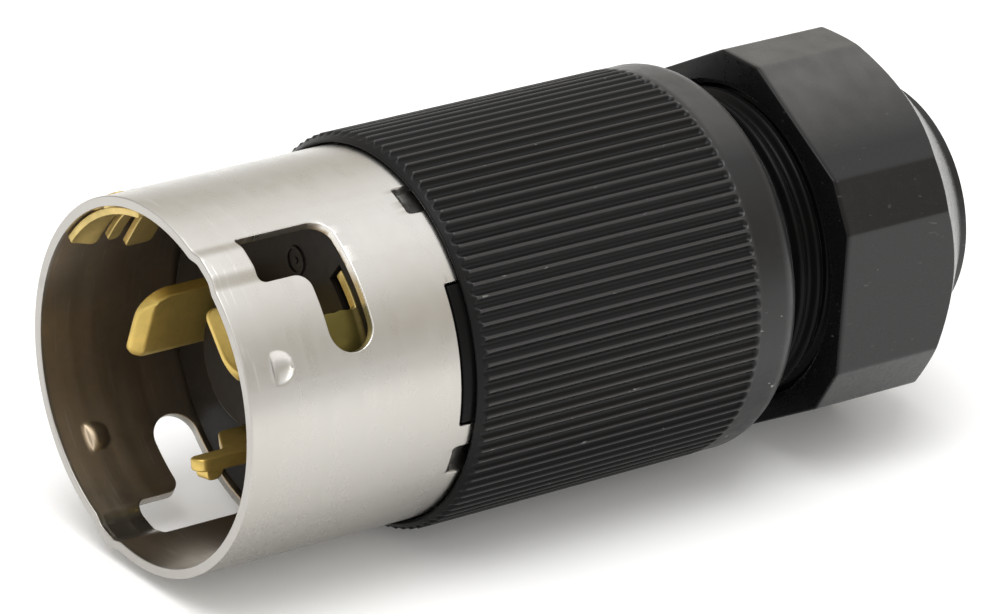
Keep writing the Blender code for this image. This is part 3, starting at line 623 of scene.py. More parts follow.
def dust_and_top_light(material, behind, start, end, colour):
    """Pale dust on a black moulding, and painted light on its upper side: behind this depth, and thicker
    from one height to the next.
    """
    tree = material.node_tree
    patchy = span(grain(own_place(tree), 300.0, 3.0, 0.5), 0.3, 0.7, 0.7, 1.0)
    share = times(span(split_place(tree)["Z"], start, end, 0.0, 0.9), patchy)
    share = times(share, span(depth_socket(tree), behind, behind + 0.0008))
    overlay(material, share, colour)


def moulded_nylon(name, colour, rough_low, rough_high, shine=0.5, nicks=0.0, nick_radius=None):
    """Black moulded nylon: faint flow marks, a fine moulded skin, and pale nicks on the crests."""
    material, tree = new_material(name)
    plain = places(tree)
    flow = grain(places(tree, (60.0, 22.0, 60.0)), 1.0, 3.0, 0.5, 0.8)
    skin = grain(plain, 5200.0, 3.0, 0.6)
    smears = grain(plain, 700.0, 5.0, 0.65)
    toned = mixed(span(flow, 0.35, 0.68), colour, shaded(colour, 1.35))
    rough = span(flow, 0.3, 0.7, rough_low, rough_high)
    rough = plus(rough, span(smears, 0.35, 0.75, -0.05, 0.08))
    relief = bump(skin, 0.0000035)
    if nicks:
        marks = grain(places(tree, (1500.0, 520.0, 1500.0)), 1.0, 2.0, 0.5, 0.4)
        where = grain(plain, 190.0, 2.0, 0.5)
        mark = times(span(marks, 0.69, 0.74), span(where, 0.46, 0.58))
        if nick_radius:
            crest = span(radius_socket(tree), nick_radius - 0.00016, nick_radius - 0.00005)
            mark = times(mark, crest)
        mark = times(mark, nicks)
        toned = mixed(mark, toned, (0.34, 0.335, 0.32))
        rough = plus(rough, times(mark, 0.15))
        relief = bump(mark, -0.00002, relief)
    coat(material, toned, rough, relief)
    polish = {"Specular IOR Level": shine, "Sheen Weight": 0.05, "Sheen Roughness": 0.35}
    feed(shader_of(material), polish)
    return material


def housing_nylon():
    """The grip's nylon: dark in the flutes, paler on the crests as wear and as a painted highlight, and
    satin on the smooth shoulder.
    """
    colour = (0.0022, 0.0020, 0.0020)
    material = moulded_nylon("housing_black", colour, 0.30, 0.40, nicks=1.0, nick_radius=GRIP_TIP_RADIUS)
    tree = material.node_tree
    crest = span(radius_socket(tree), GRIP_TIP_RADIUS - 0.00020, GRIP_TIP_RADIUS - 0.00003)
    shoulder = span(depth_socket(tree), GRIP_BACK - 0.0006, GRIP_BACK + 0.0004)
    rib = math_node("SUBTRACT", crest, times(crest, shoulder))
    shine = plus(span(shoulder, 0.0, 1.0, 0.20, 0.50), times(rib, 0.3))
    # Less shine low down: painted shade on the grip's underside.
    sheltered = span(underside_shade_socket(tree), 0.72, 0.95, 1.0, 0.45)
    feed(shader_of(material), {"Specular IOR Level": times(shine, sheltered)})
    # Paler crests: wear, and a painted highlight along them.
    overlay(material, times(rib, 0.5), (0.040, 0.038, 0.036))
    # Paler on the upper side: dust, and painted light from above.
    dust_and_top_light(material, GRIP_BACK, AXIS_Z + 0.0215, AXIS_Z + 0.0275, (0.062, 0.060, 0.058))
    return material


def nut_nylon():
    """The nut's nylon: satin, pale on its upper flats with dust and painted light from above, and duller on
    its front face.
    """
    material = moulded_nylon("nut_black", (0.0042, 0.0039, 0.0039), 0.24, 0.33, nicks=0.12)
    tree = material.node_tree
    shine = span(depth_socket(tree), NUT_FRONT + 0.0001, NUT_FRONT + 0.0009, 0.18, 0.45)
    feed(shader_of(material), {"Specular IOR Level": shine})
    # Paler on the upper flats: dust, and painted light from above.
    dust_and_top_light(material, NUT_FRONT + 0.0002, AXIS_Z + 0.0195, AXIS_Z + 0.0265, (0.088, 0.086, 0.083))
    return material


def matt_rubber():
    material, tree = new_material("grommet_rubber")
    plain = places(tree)
    bloom = grain(plain, 240.0, 4.0, 0.6)
    skin = grain(plain, 3600.0, 3.0, 0.6)
    colour = mixed(span(bloom, 0.35, 0.7), (0.018, 0.018, 0.018), (0.032, 0.031, 0.030))
    coat(material, colour, span(bloom, 0.3, 0.7, 0.62, 0.78), bump(skin, 0.000012))
    return material


def natural_nylon():
    material, tree = new_material("washer_nylon")
    plain = places(tree)
    flow = grain(plain, 160.0, 3.0, 0.5)
    skin = grain(plain, 4000.0, 3.0, 0.6)
    colour = mixed(span(flow, 0.3, 0.7), (0.62, 0.60, 0.54), (0.54, 0.51, 0.44))
    coat(material, colour, span(flow, 0.3, 0.7, 0.38, 0.5), bump(skin, 0.000006))
    feed(shader_of(material), {"Subsurface Weight": 0.15, "Subsurface Scale": 0.001})
    return material


NICKEL = satin_nickel()
BRASS = stamped_brass("stamped_brass", (0.68, 0.49, 0.14), (0.54, 0.40, 0.115), 0.38)
CLIP_BRASS = stamped_brass("spring_brass", (0.70, 0.53, 0.20), (0.54, 0.42, 0.15), 0.40)
CONTACT_BRASS = contact_brass()
CLAMP_BRASS = stamped_brass("clamp_brass", (0.66, 0.48, 0.20), (0.54, 0.40, 0.17), 0.36)
STEEL = plated_steel("screw_steel", (0.62, 0.62, 0.60))
GREEN = plated_steel("earth_screw_green", (0.05, 0.32, 0.12))
INSULATOR = moulded_nylon("insulator_black", (0.0074, 0.0056, 0.0044), 0.38, 0.50, shine=0.14)
HOUSING = housing_nylon()
NECK = moulded_nylon("neck_black", (0.0034, 0.0032, 0.0031), 0.28, 0.38, shine=0.09)
NUT = nut_nylon()
RUBBER = matt_rubber()
NYLON = natural_nylon()


# Steel shell


def shell_arc(angle_deg):
    """How far round the unrolled shell an angle lies."""
    return SHELL_MIDDLE * math.radians(angle_deg)


def slot_outline(turn_deg):
    """One J-shaped bayonet slot on the unrolled shell: an axial leg, then a run with a round end."""
    high = shell_arc(SLOT_START_DEG + turn_deg)
    inner = high - SLOT_LEG_WIDTH
    end = shell_arc(SLOT_START_DEG - SLOT_TURN_DEG + turn_deg)
    run_front = SLOT_REAR - SLOT_RUN_WIDTH
    half = SLOT_RUN_WIDTH / 2
    corner = 0.0030
    inner_corner = 0.0022
    small = 0.0013
    tight = 0.0005
    outline = arc((high - tight, SLOT_FRONT + tight), tight, -90, 0, 4)
    outline += arc((high - corner, SLOT_REAR - corner), corner, 0, 90, 10)
    outline += arc((end + half, SLOT_REAR - half), half, 90, 270, 24)
    outline += arc((inner - inner_corner, run_front - inner_corner), inner_corner, 90, 0, 9)
    outline += arc((inner + small, SLOT_FRONT + small), small, 180, 270, 7)
    return outline


def box_outline(from_deg, to_deg, front, rear, corner):
    low = shell_arc(from_deg)
    high = shell_arc(to_deg)
    return filleted([(low, front, corner), (high, front, corner), (high, rear, corner), (low, rear, corner)])


def leg_edge(turn_deg):
    """The long straight edge of a slot's leg."""
    return shell_arc(wrapped(SLOT_START_DEG + turn_deg))


def dimple_middle(turn_deg):
    return shell_arc(wrapped(SLOT_START_DEG + DIMPLE_FROM_DEG + DIMPLE_SPAN_DEG / 2 + turn_deg))


def channel_rise(arc_at, depth):
    """The pressed channel in front of each slot's leg."""
    half = SLOT_LEG_WIDTH / 2
    rise = 0.0
    for turn_deg in SLOT_TURNS:
        across = abs(arc_at - (leg_edge(turn_deg) - half))
        if depth < SLOT_FRONT + 0.0003 and across < half:
            rise = CHANNEL_LIFT * smooth(half - across, 0.0, CHANNEL_FLANK)
    return rise


def dimple_drop(arc_at, depth):
    """The pressed dimple beside each slot: a short steep front and a round, soft back."""
    half = shell_arc(DIMPLE_SPAN_DEG / 2)
    if depth < DIMPLE_DEEPEST:
        swell = smooth(depth, DIMPLE_FRONT, DIMPLE_DEEPEST)
        along = DIMPLE_STEP_SHARE + (1.0 - DIMPLE_STEP_SHARE) * swell
        along *= smooth(depth, DIMPLE_FRONT, DIMPLE_FRONT + DIMPLE_STEP)
    else:
        behind = min(1.0, (depth - DIMPLE_DEEPEST) / (DIMPLE_BACK - DIMPLE_DEEPEST))
        along = math.sqrt(1.0 - behind * behind)
        half *= along
    drop = 0.0
    for turn_deg in SLOT_TURNS:
        across = abs(arc_at - dimple_middle(turn_deg))
        if across < half:
            drop += DIMPLE_DROP * along * (1.0 - (across / half) ** 2) ** 0.9
    return drop


def stake_drop(arc_at, depth):
    """The two tabs of the rear edge that are staked into the insulator."""
    deep = smooth(depth, STAKE_FRONT - STAKE_EASE, STAKE_FRONT + STAKE_RAMP)
    drop = 0.0
    for angle_deg in STAKE_ANGLES:
        across = abs(arc_at - shell_arc(angle_deg))
        beside = smooth(across, STAKE_HALF_WIDTH - STAKE_EASE, STAKE_HALF_WIDTH + 0.0004)
        drop += STAKE_DROP * deep * (1.0 - beside)
    return drop


def shell_lift(arc_at, depth):
    return channel_rise(arc_at, depth) - dimple_drop(arc_at, depth) - stake_drop(arc_at, depth)


def shell_lines():
    """Where the blank is scored: evenly all round, and closely where it is pressed."""
    half_turn = SHELL_MIDDLE * math.pi
    fine = 0.0002
    across = spaced(-half_turn, half_turn, shell_arc(2.5))
    along = spaced(0.0015, SHELL_DEPTH - 0.0015, 0.0022)
    for turn_deg in SLOT_TURNS:
        high = leg_edge(turn_deg)
        low = high - SLOT_LEG_WIDTH
        across += spaced(high - CHANNEL_FLANK, high, fine) + spaced(low, low + CHANNEL_FLANK, fine)
        middle = dimple_middle(turn_deg)
        half = shell_arc(DIMPLE_SPAN_DEG / 2) + 0.0003
        flat = half - 0.0012
        across += spaced(middle - half, middle - flat, fine) + spaced(middle - flat, middle + flat, 2 * fine)
        across += spaced(middle + flat, middle + half, fine)
    along += spaced(DIMPLE_FRONT, DIMPLE_FRONT + DIMPLE_STEP, 0.00015)
    along += spaced(DIMPLE_FRONT + DIMPLE_STEP, DIMPLE_BACK, 0.00025)
    for angle_deg in STAKE_ANGLES:
        for side in (-STAKE_HALF_WIDTH, STAKE_HALF_WIDTH):
            edge = shell_arc(angle_deg) + side
            across += spaced(edge - 0.0005, edge + 0.0005, fine)
    along += spaced(STAKE_FRONT - STAKE_EASE, STAKE_FRONT + STAKE_RAMP, 0.00026)
    return well_apart(across), well_apart(along)


def well_apart(lines):
    kept = []
    for line in sorted(lines):
        if not kept or line - kept[-1] > 0.00012:
            kept.append(line)
    return kept


def make_shell():
    """The shell is punched flat, pressed, and rolled into a tube."""
    half_turn = SHELL_MIDDLE * math.pi
    past = half_turn + 0.001
    low = shell_arc(KEY_FROM_DEG)
    high = shell_arc(KEY_TO_DEG)
    small = 0.0004
    edge = [(past, SHELL_DEPTH, 0.0), (high, SHELL_DEPTH, small), (high, KEY_FRONT, small)]
    edge += [(low, KEY_FRONT, small), (low, SHELL_DEPTH, small), (-past, SHELL_DEPTH, 0.0)]
    edge += [(-past, 0.0, 0.0), (past, 0.0, 0.0)]
    window = box_outline(WINDOW_FROM_DEG, WINDOW_TO_DEG, WINDOW_FRONT, WINDOW_REAR, 0.0005)
    outlines = [filleted(edge)] + [slot_outline(turn_deg) for turn_deg in SLOT_TURNS] + [window]
    bm = sheet_metal(outlines, SHELL_WALL, SHELL_EDGE)
    for side in (-1.0, 1.0):
        geometry = bm.verts[:] + bm.edges[:] + bm.faces[:]
        cut = {"plane_co": (side * half_turn, 0, 0), "plane_no": (side, 0, 0), "clear_outer": True}
        bmesh.ops.bisect_plane(bm, geom=geometry, dist=0.000002, **cut)
    across, along = shell_lines()
    score(bm, 0, across)
    score(bm, 1, along)
    merge_flat_faces(bm)
    roll(bm, SHELL_MIDDLE, shell_lift)
    bmesh.ops.remove_doubles(bm, verts=bm.verts, dist=0.000004)
    piece("steel_shell", bm, NICKEL, "shell")


# Blades


def blade_outline():
    """A blade laid flat: x across its width, y depth. One tip corner is round, the other only eased."""
    half = BLADE_WIDTH / 2
    small = 0.0015
    large = 0.0044
    outline = arc((half - small, BLADE_TIP + small), small, 0, -90, 10)
    outline += arc((-half + large, BLADE_TIP + large), large, -90, -180, 14)
    return outline + [(-half, BLADE_BACK), (half, BLADE_BACK)]


def nosed_outline():
    """The neutral blade laid flat: a narrow round nose along one edge, then a slanting shoulder."""
    half = BLADE_WIDTH / 2
    nose = NOSE_WIDTH / 2
    outline = arc((half - nose, NOSE_TIP + nose), nose, 0, -180, 16)
    corners = [(half - NOSE_WIDTH, NOSE_TIP + nose, 0.0), (half - NOSE_WIDTH, NOSE_BACK, 0.0012)]
    corners += [(-half, NOSE_SHOULDER_BACK, 0.0015), (-half, BLADE_BACK, 0.0), (half, BLADE_BACK, 0.0)]
    return outline[:-1] + filleted(corners)


def hook_outline():
    """The lug on the neutral blade's tip: y depth, x how far it stands out from the blade's inner face."""
    back = HOOK_START + HOOK_LENGTH
    foot = 0.0003
    corners = [(foot, HOOK_START, 0.0003), (HOOK_REACH, HOOK_START, 0.0009)]
    corners += [(HOOK_REACH, HOOK_START + 0.0021, 0.0012), (BLADE_THICK - 0.0004, back, 0.0004)]
    return filleted(corners + [(foot, back, 0.0003)])


def taper_blade(bm, half_thick):
    """Slopes a blade's inner face to a thinner tip, and grinds it along one long edge."""
    grinding = 0.22
    for vert in bm.verts:
        across, depth, out = vert.co
        short = min(1.0, max(0.0, (BLADE_TIP + BLADE_TAPER - depth) / BLADE_TAPER))
        ground = min(1.0, max(0.0, (across - BLADE_WIDTH / 2 + BLADE_GROUND) / BLADE_GROUND))
        share = 1.0 - (1.0 - BLADE_THINNING * short) * (1.0 - grinding * ground)
        vert.co.z = out + (half_thick - out) * share


def taper_nose(bm, half_thick):
    """Rounds the neutral blade's nose off a little on its outer face."""
    slope = 0.0024
    for vert in bm.verts:
        short = min(1.0, max(0.0, (NOSE_TIP + slope - vert.co.y) / slope))
        vert.co.z -= (half_thick + vert.co.z) * 0.20 * short


def stand_blade(bm, angle_deg, inner):
    """Moves a flat blade (x across, y depth, z thickness) to its place round the axis."""
    outward, tangent = directions(angle_deg)
    for vert in bm.verts:
        across, depth, out = vert.co
        vert.co = around(0.0, 0.0, depth) + outward * (inner + out) + tangent * across


def make_blade(node, angle_deg):
    nosed = node == "blade_neutral"
    bm = sheet_metal([nosed_outline() if nosed else blade_outline()], BLADE_THICK, BLADE_EDGE)
    tip = NOSE_TIP if nosed else BLADE_TIP
    score(bm, 1, spaced(tip + 0.0004, tip + BLADE_TAPER, 0.0005) + spaced(0.012, 0.03, 0.006))
    score(bm, 0, spaced(-BLADE_WIDTH / 2 + 0.001, BLADE_WIDTH / 2 - BLADE_GROUND, 0.0021))
    merge_flat_faces(bm)
    half_thick = BLADE_THICK / 2
    if nosed:
        taper_nose(bm, half_thick)
    else:
        taper_blade(bm, half_thick)
    stand_blade(bm, angle_deg, BLADE_INNER + half_thick)
    piece(f"{node}_stamping", bm, BRASS, node)


def make_hook():
    bm = sheet_metal([hook_outline()], HOOK_WIDTH, 0.00025)
    for vert in bm.verts:
        out, depth, across = vert.co
        vert.co = ((BLADE_WIDTH - HOOK_WIDTH) / 2 - 0.0001 + across, depth, out)
    stand_blade(bm, BLADE_ANGLES["blade_neutral"], BLADE_INNER)
    piece("blade_neutral_lug", bm, BRASS, "blade_neutral")


# Earth clip


def clip_outline():
    """The unrolled clip: a spine along the shell, three fingers round it, and a strap to the rear."""
    low = CLIP_MIDDLE * math.radians(CLIP_FROM_DEG)
    spine = CLIP_MIDDLE * math.radians(CLIP_SPINE_TO_DEG)
    strap = spine - 0.0002
    corners = [(low, CLIP_FRONT, 0.0004)]
    for front, back, reach_deg in CLIP_FINGERS:
        reach = CLIP_MIDDLE * math.radians(reach_deg)
        corners += [(spine, front, 0.0004)] if front > CLIP_FRONT else []
        corners += [(reach, front, 0.0008), (reach, back, 0.0009), (spine, back, 0.0004)]
    corners += [(strap, CLIP_SPINE_BACK, 0.0), (strap, STRAP_BACK, 0.0002), (low, STRAP_BACK, 0.0002)]
    return filleted(corners)


def clip_lift(arc_at, depth):
    """The contact bump that stands out through the shell's window, and the fingers' inward set."""
    angle_deg = math.degrees(arc_at / CLIP_MIDDLE)
    bump_across = 1.0 - smooth(abs(angle_deg - CLIP_BUMP_DEG), 3.0, 5.6)
    bump_along = 1.0 - smooth(abs(depth - CLIP_BUMP_DEPTH), 0.0006, 0.0012)
    lift = CLIP_BUMP_LIFT * bump_across * bump_along
    if depth > FINGER_GAP:
        lift -= FINGER_SET * smooth(angle_deg, 120.0, 146.0)
    else:
        lift -= FIRST_FINGER_SET * smooth(angle_deg, 126.0, 144.0) * smooth(depth, 0.0012, 0.0044)
    return lift - STRAP_BEND_DROP * smooth(depth, STRAP_BEND_START, STRAP_BEND_END)


def make_earth_clip():
    bm = sheet_metal([clip_outline()], CLIP_THICK, 0.00016)
    low = CLIP_MIDDLE * math.radians(CLIP_FROM_DEG)
    high = CLIP_MIDDLE * math.radians(CLIP_TO_DEG)
    score(bm, 0, spaced(low, high, CLIP_MIDDLE * math.radians(1.4)))
    score(bm, 1, spaced(CLIP_FRONT + 0.0003, 0.0051, 0.0003) + spaced(STRAP_BEND_START, STRAP_BACK, 0.0012))
    merge_flat_faces(bm)
    roll(bm, CLIP_MIDDLE, clip_lift)
    piece("earth_clip_stamping", bm, CLIP_BRASS, "earth_clip")


# Face insulator


def box_cutter(name, size, radius, depth, angle_deg):
    """A box of (radial, tangential, axial) size, its centre at this radius, depth and angle."""
    bm = bmesh.new()
    bmesh.ops.create_cube(bm, size=1.0)
    outward, tangent = directions(angle_deg)
    for vert in bm.verts:
        out, side, along = (share * length for share, length in zip(vert.co, size))
        vert.co = around(0.0, 0.0, depth + along) + outward * (radius + out) + tangent * side
    return bpy.data.objects.new(name, mesh_of(bm, name))


def carved(name, mesh_data, cutters, joined, easing):
    """The mesh after its cuts and joins, with its sharp edges eased."""
    body = bpy.data.objects.new(name, mesh_data)
    helpers = [(cutter, "DIFFERENCE") for cutter in cutters] + [(extra, "UNION") for extra in joined]
    for obj in [body] + cutters + joined:
        in_scene(obj)
    for helper, operation in helpers:
        modifier = body.modifiers.new(helper.name, "BOOLEAN")
        modifier.operation = operation
        modifier.object = helper
    ease_edges(body, easing)
    made = evaluated_mesh(body)
    for obj in [body] + cutters + joined:
        bpy.data.objects.remove(obj, do_unlink=True)
    return made


def sector_cutter(name, inner, outer, front, back, from_deg, to_deg):
    """Part of a ring between two angles, for cutting."""
    bm = bmesh.new()
    loops = []
    for angle in spaced(from_deg, to_deg, 4.0):
        corners = [(inner, front), (outer, front), (outer, back), (inner, back)]
        loops.append([bm.verts.new(around(radius, angle, depth)) for radius, depth in corners])
    for near, far in zip(loops, loops[1:]):
        for i in range(4):
            n = (i + 1) % 4
            bm.faces.new([near[i], near[n], far[n], far[i]])
    bm.faces.new(loops[0])
    bm.faces.new(loops[-1][::-1])
    return bpy.data.objects.new(name, mesh_of(bm, name))


def raised_mark(name, inner, outer, inner_round, height, steps):
    """A small ring or dot on the insulator's face, beside its hub."""
    top = FACE_DEPTH - height
    foot = FACE_DEPTH + 0.0005
    corners = [(inner, top, inner_round), (outer, top, 0.0001), (outer, foot, 0.0), (inner, foot, 0.0)]
    mesh_data = mesh_of(turned(corners, steps), name)
    mesh_data.transform(Matrix.Translation(around(*MARK_AT, 0.0) - around(0.0, 0.0, 0.0)))
    return bpy.data.objects.new(name, mesh_data)


def make_face_insulator():
    """The black face that the blades stand in: a raised hub, blade slots, strap slot and contact pocket."""
    name = "face_insulator_moulding"
    axis = 0.00001
    corners = [(axis, HUB_DEPTH, 0.0), (HUB_RADIUS, HUB_DEPTH, 0.0005), (HUB_RADIUS, FACE_DEPTH, 0.0004)]
    corners += [(FACE_RADIUS, FACE_DEPTH, 0.0004), (FACE_RADIUS, FACE_BACK, 0.0003), (axis, FACE_BACK, 0.0)]
    front = FACE_DEPTH - 0.001
    slot_back = BLADE_BACK + 0.0002
    slot = (BLADE_THICK + 0.0006, BLADE_WIDTH + 0.0006, slot_back - front)
    pocket = (0.0012, BLADE_WIDTH + 0.0030, 0.0016)
    blade_middle = BLADE_INNER + BLADE_THICK / 2
    pocket_middle = BLADE_INNER + BLADE_THICK + 0.0006
    cutters = []
    for node, angle_deg in BLADE_ANGLES.items():
        cutters.append(box_cutter(f"slot_{node}", slot, blade_middle, (front + slot_back) / 2, angle_deg))
        cutters.append(box_cutter(f"pocket_{node}", pocket, pocket_middle, FACE_DEPTH, angle_deg))
    strap = (*STRAP_SLOT, FACE_BACK - FACE_DEPTH + 0.002)
    strap_deg = (CLIP_FROM_DEG + CLIP_SPINE_TO_DEG) / 2
    middle = (FACE_DEPTH + FACE_BACK) / 2
    cutters.append(box_cutter("slot_strap", strap, FACE_RADIUS + 0.0002, middle, strap_deg))
    low = CONTACT_FROM_DEG - POCKET_MARGIN_DEG
    high = CONTACT_TO_DEG + POCKET_MARGIN_DEG
    back = CONTACT_BACK + 0.0003
    cutters.append(sector_cutter("contact_pocket", POCKET_INNER, POCKET_OUTER, front, back, low, high))
    marks = [raised_mark("mould_ring", MARK_HOLE, MARK_RADIUS, 0.0001, 0.0003, 40)]
    marks.append(raised_mark("mould_dot", axis, MARK_DOT, 0.0, 0.0002, 24))
    made = carved(name, mesh_of(turned(corners), name), cutters, marks, 0.00012)
    finished(name, made, INSULATOR, "face_insulator")


def make_slot_contact():
    """A curved brass piece: its foot is sunk in the face, and its tab stands behind a slot's end."""
    low = CONTACT_MIDDLE * math.radians(CONTACT_FROM_DEG)
    tab = CONTACT_MIDDLE * math.radians(CONTACT_TAB_TO_DEG)
    high = CONTACT_MIDDLE * math.radians(CONTACT_TO_DEG)
    sheared = [0.0, -0.00012, 0.00006, -0.00008, 0.0001, -0.00015, 0.0]
    step = (FACE_DEPTH - CONTACT_TIP) / (len(sheared) - 1)
    corners = [(low, CONTACT_TIP, 0.0004)]
    corners += [(tab + nick, CONTACT_TIP + step * i, 0.0) for i, nick in enumerate(sheared)]
    corners += [(high, FACE_DEPTH, 0.0003), (high, CONTACT_BACK, 0.0003), (low, CONTACT_BACK, 0.0003)]
    bm = sheet_metal([filleted(corners)], CONTACT_THICK, 0.0002)
    score(bm, 0, spaced(low + 0.0004, high - 0.0004, CONTACT_MIDDLE * math.radians(2.0)))
    merge_flat_faces(bm)
    roll(bm, CONTACT_MIDDLE)
    piece("slot_contact_strip", bm, CONTACT_BRASS, "slot_contact")


# Grip housing


def chamfer_radius(depth):
    """How far out the grip's long front chamfer lets it stand."""
    for (start, low), (end, high) in zip(GRIP_CHAMFER, GRIP_CHAMFER[1:]):
        if depth < end:
            return low + (high - low) * max(0.0, (depth - start) / (end - start))
    return GRIP_TIP_RADIUS


def grip_radius(phase, depth):
    """The fluted surface: hollow flutes with narrow crests between them, round at their rear ends."""
    across = (phase - 0.5) / FLUTE_HALF
    beyond = max(0.0, (depth - GRIP_BACK + FLUTE_END) / FLUTE_END)
    hollow = max(0.0, 1.0 - across * across - beyond * beyond) ** FLUTE_EASE
    crest = GRIP_TIP_RADIUS + (SHOULDER_RADIUS - GRIP_TIP_RADIUS) * smooth(beyond, 0.4, 1.2)
    return min(chamfer_radius(depth), crest - (GRIP_TIP_RADIUS - GRIP_ROOT_RADIUS) * hollow)


def grip_depths():
    """Close together at the chamfer and where the flutes end, and far apart along their straight part."""
    chamfer_end = GRIP_CHAMFER[-1][0]
    depths = spaced(GRIP_FRONT + 0.00008, chamfer_end + 0.0002, 0.0001)
    depths += spaced(chamfer_end + 0.0006, GRIP_BACK - FLUTE_END - 0.0004, 0.0075)
    return depths + spaced(GRIP_BACK - FLUTE_END, GRIP_BACK + 0.0002, 0.00008)


def shoulder_outline():
    """From the flutes' end over the smooth shoulder, through the neck's root and back along the bore."""
    seat = SHELL_RADIUS + 0.0003
    outline = [(SHOULDER_RADIUS, SHOULDER_BACK - 0.0013), (SHOULDER_RADIUS - 0.00005, SHOULDER_BACK)]
    outline += arc((SHOULDER_RADIUS - SHOULDER_ROUND, SHOULDER_BACK + 0.0012), SHOULDER_ROUND, 4, 74, 12)
    outline += [(GROOVE_RADIUS + 0.0005, GROOVE_DEPTH - 0.0003), (GROOVE_RADIUS, GROOVE_DEPTH)]
    outline += [(radius, GROOVE_DEPTH + 0.0001) for radius in (0.0225, 0.0208, HOUSING_HOLE)]
    outline += [(HOUSING_HOLE, 0.0880), (HOUSING_BORE, HOUSING_BORE_BACK)]
    outline += [(HOUSING_BORE, SHELL_SEAT + 0.0002), (HOUSING_BORE + 0.0003, SHELL_SEAT)]
    return outline + [(seat, SHELL_SEAT), (seat, GRIP_FRONT + 0.0002)]


def make_grip():
    """The fluted grip and its smooth shoulder, one closed skin with its bore."""
    columns = [(rib + phase, phase) for rib in range(GRIP_RIBS) for phase in RIB_PHASES]
    columns = [(360.0 * place / GRIP_RIBS, phase) for place, phase in columns]
    angles = [angle for angle, _ in columns]
    rings = [ring(GRIP_LIP, GRIP_FRONT + 0.00004, angles), ring(GRIP_LIP + 0.00012, GRIP_FRONT, angles)]
    for depth in grip_depths():
        rings.append([around(grip_radius(phase, depth), angle, depth) for angle, phase in columns])
    rings += [ring(radius, depth, angles) for radius, depth in shoulder_outline()]
    piece("ribbed_grip", ring_form(rings), HOUSING, "grip_housing")


def thread_radius(angle_deg, depth):
    """The neck's thread, one ridge that winds back along it and fades out at both ends."""
    turn = ((depth - THREAD_FIRST) / THREAD_PITCH - (angle_deg + THREAD_TURN_DEG) / 360.0 + 0.5) % 1.0
    height = 1.0 - smooth(abs(turn - 0.5) * 2.0, *THREAD_FLANK)
    height *= smooth(depth, NECK_FRONT + 0.0009, NECK_FRONT + 0.0022)
    height *= 1.0 - smooth(depth, NECK_BACK - 0.0016, NECK_BACK - 0.0006)
    return NECK_ROOT + (NECK_CREST - NECK_ROOT) * height


def make_neck():
    """The neck's threaded outside, then its bore back from the end to the cord's way."""
    steps = 240
    angles = [360.0 * i / steps for i in range(steps)]
    rings = []
    for depth in spaced(NECK_FRONT, NECK_BACK - 0.0004, 0.00019):
        rings.append([around(thread_radius(angle, depth), angle, depth) for angle in angles])
    inner = [(NECK_ROOT - 0.0004, NECK_BACK), (NECK_BORE + 0.0003, NECK_BACK)]
    inner += [(NECK_BORE, NECK_BACK - 0.0003), (NECK_BORE, GROMMET_SEAT)]
    inner += [(CORD_WAY, CORD_WAY_BACK), (CORD_WAY, NECK_FRONT)]
    rings += [ring(radius, depth, angles) for radius, depth in inner]
    piece("threaded_neck", ring_form(rings), NECK, "grip_housing")


def make_key():
    """The housing's key, which fills the notch in the shell's rear edge."""
    margin = 0.75
    back = 0.0372
    proud = 0.00002
    low = KEY_FROM_DEG + margin
    high = KEY_TO_DEG - margin
    bm = sheet_metal([box_outline(low, high, KEY_FRONT + 0.0003, back, 0.0003)], 0.0013, 0.00018)
    score(bm, 0, [shell_arc(angle) for angle in spaced(low, high, 2.5)[1:-1]])
    merge_flat_faces(bm)
    roll(bm, SHELL_MIDDLE, lambda arc_at, depth: proud)
    piece("housing_key", bm, NECK, "grip_housing")


# Gland


def nut_flats():
    """(middle angle, distance from the axis) of the nut's twelve flats."""
    corner_radius = REST_RADIUS / math.cos(math.radians(NUT_SHORT_HALF_DEG))
    wide = corner_radius * math.cos(math.radians(30.0 - NUT_SHORT_HALF_DEG))
    return [(30.0 + 60.0 * i, REST_RADIUS) for i in range(6)] + [(60.0 * i, wide) for i in range(6)]


def nut_radius(angle_deg):
    """How far out the nut's side lies: its flats, with slightly round corners between them."""
    sharpness = 420.0
    total = 0.0
    for middle, apothem in nut_flats():
        facing = math.cos(math.radians(angle_deg - middle))
        if facing > 0.5:
            total += (facing * REST_RADIUS / apothem) ** sharpness
    return REST_RADIUS * total ** (-1.0 / sharpness)


def nut_angles():
    """Close together round each corner, and wider apart across the flats."""
    angles = []
    for corner in range(12):
        side = -1 if corner % 2 == 0 else 1
        middle = 30.0 + 60.0 * (corner // 2) + side * NUT_SHORT_HALF_DEG
        angles += [middle + step * 0.28 for step in range(-4, 5)]
        to_next = 2 * NUT_SHORT_HALF_DEG if side < 0 else 60.0 - 2 * NUT_SHORT_HALF_DEG
        angles += spaced(middle + NUT_CORNER_DEG, middle + to_next - NUT_CORNER_DEG, NUT_STEP_DEG)
    return sorted(set(round(angle % 360.0, 4) for angle in angles))


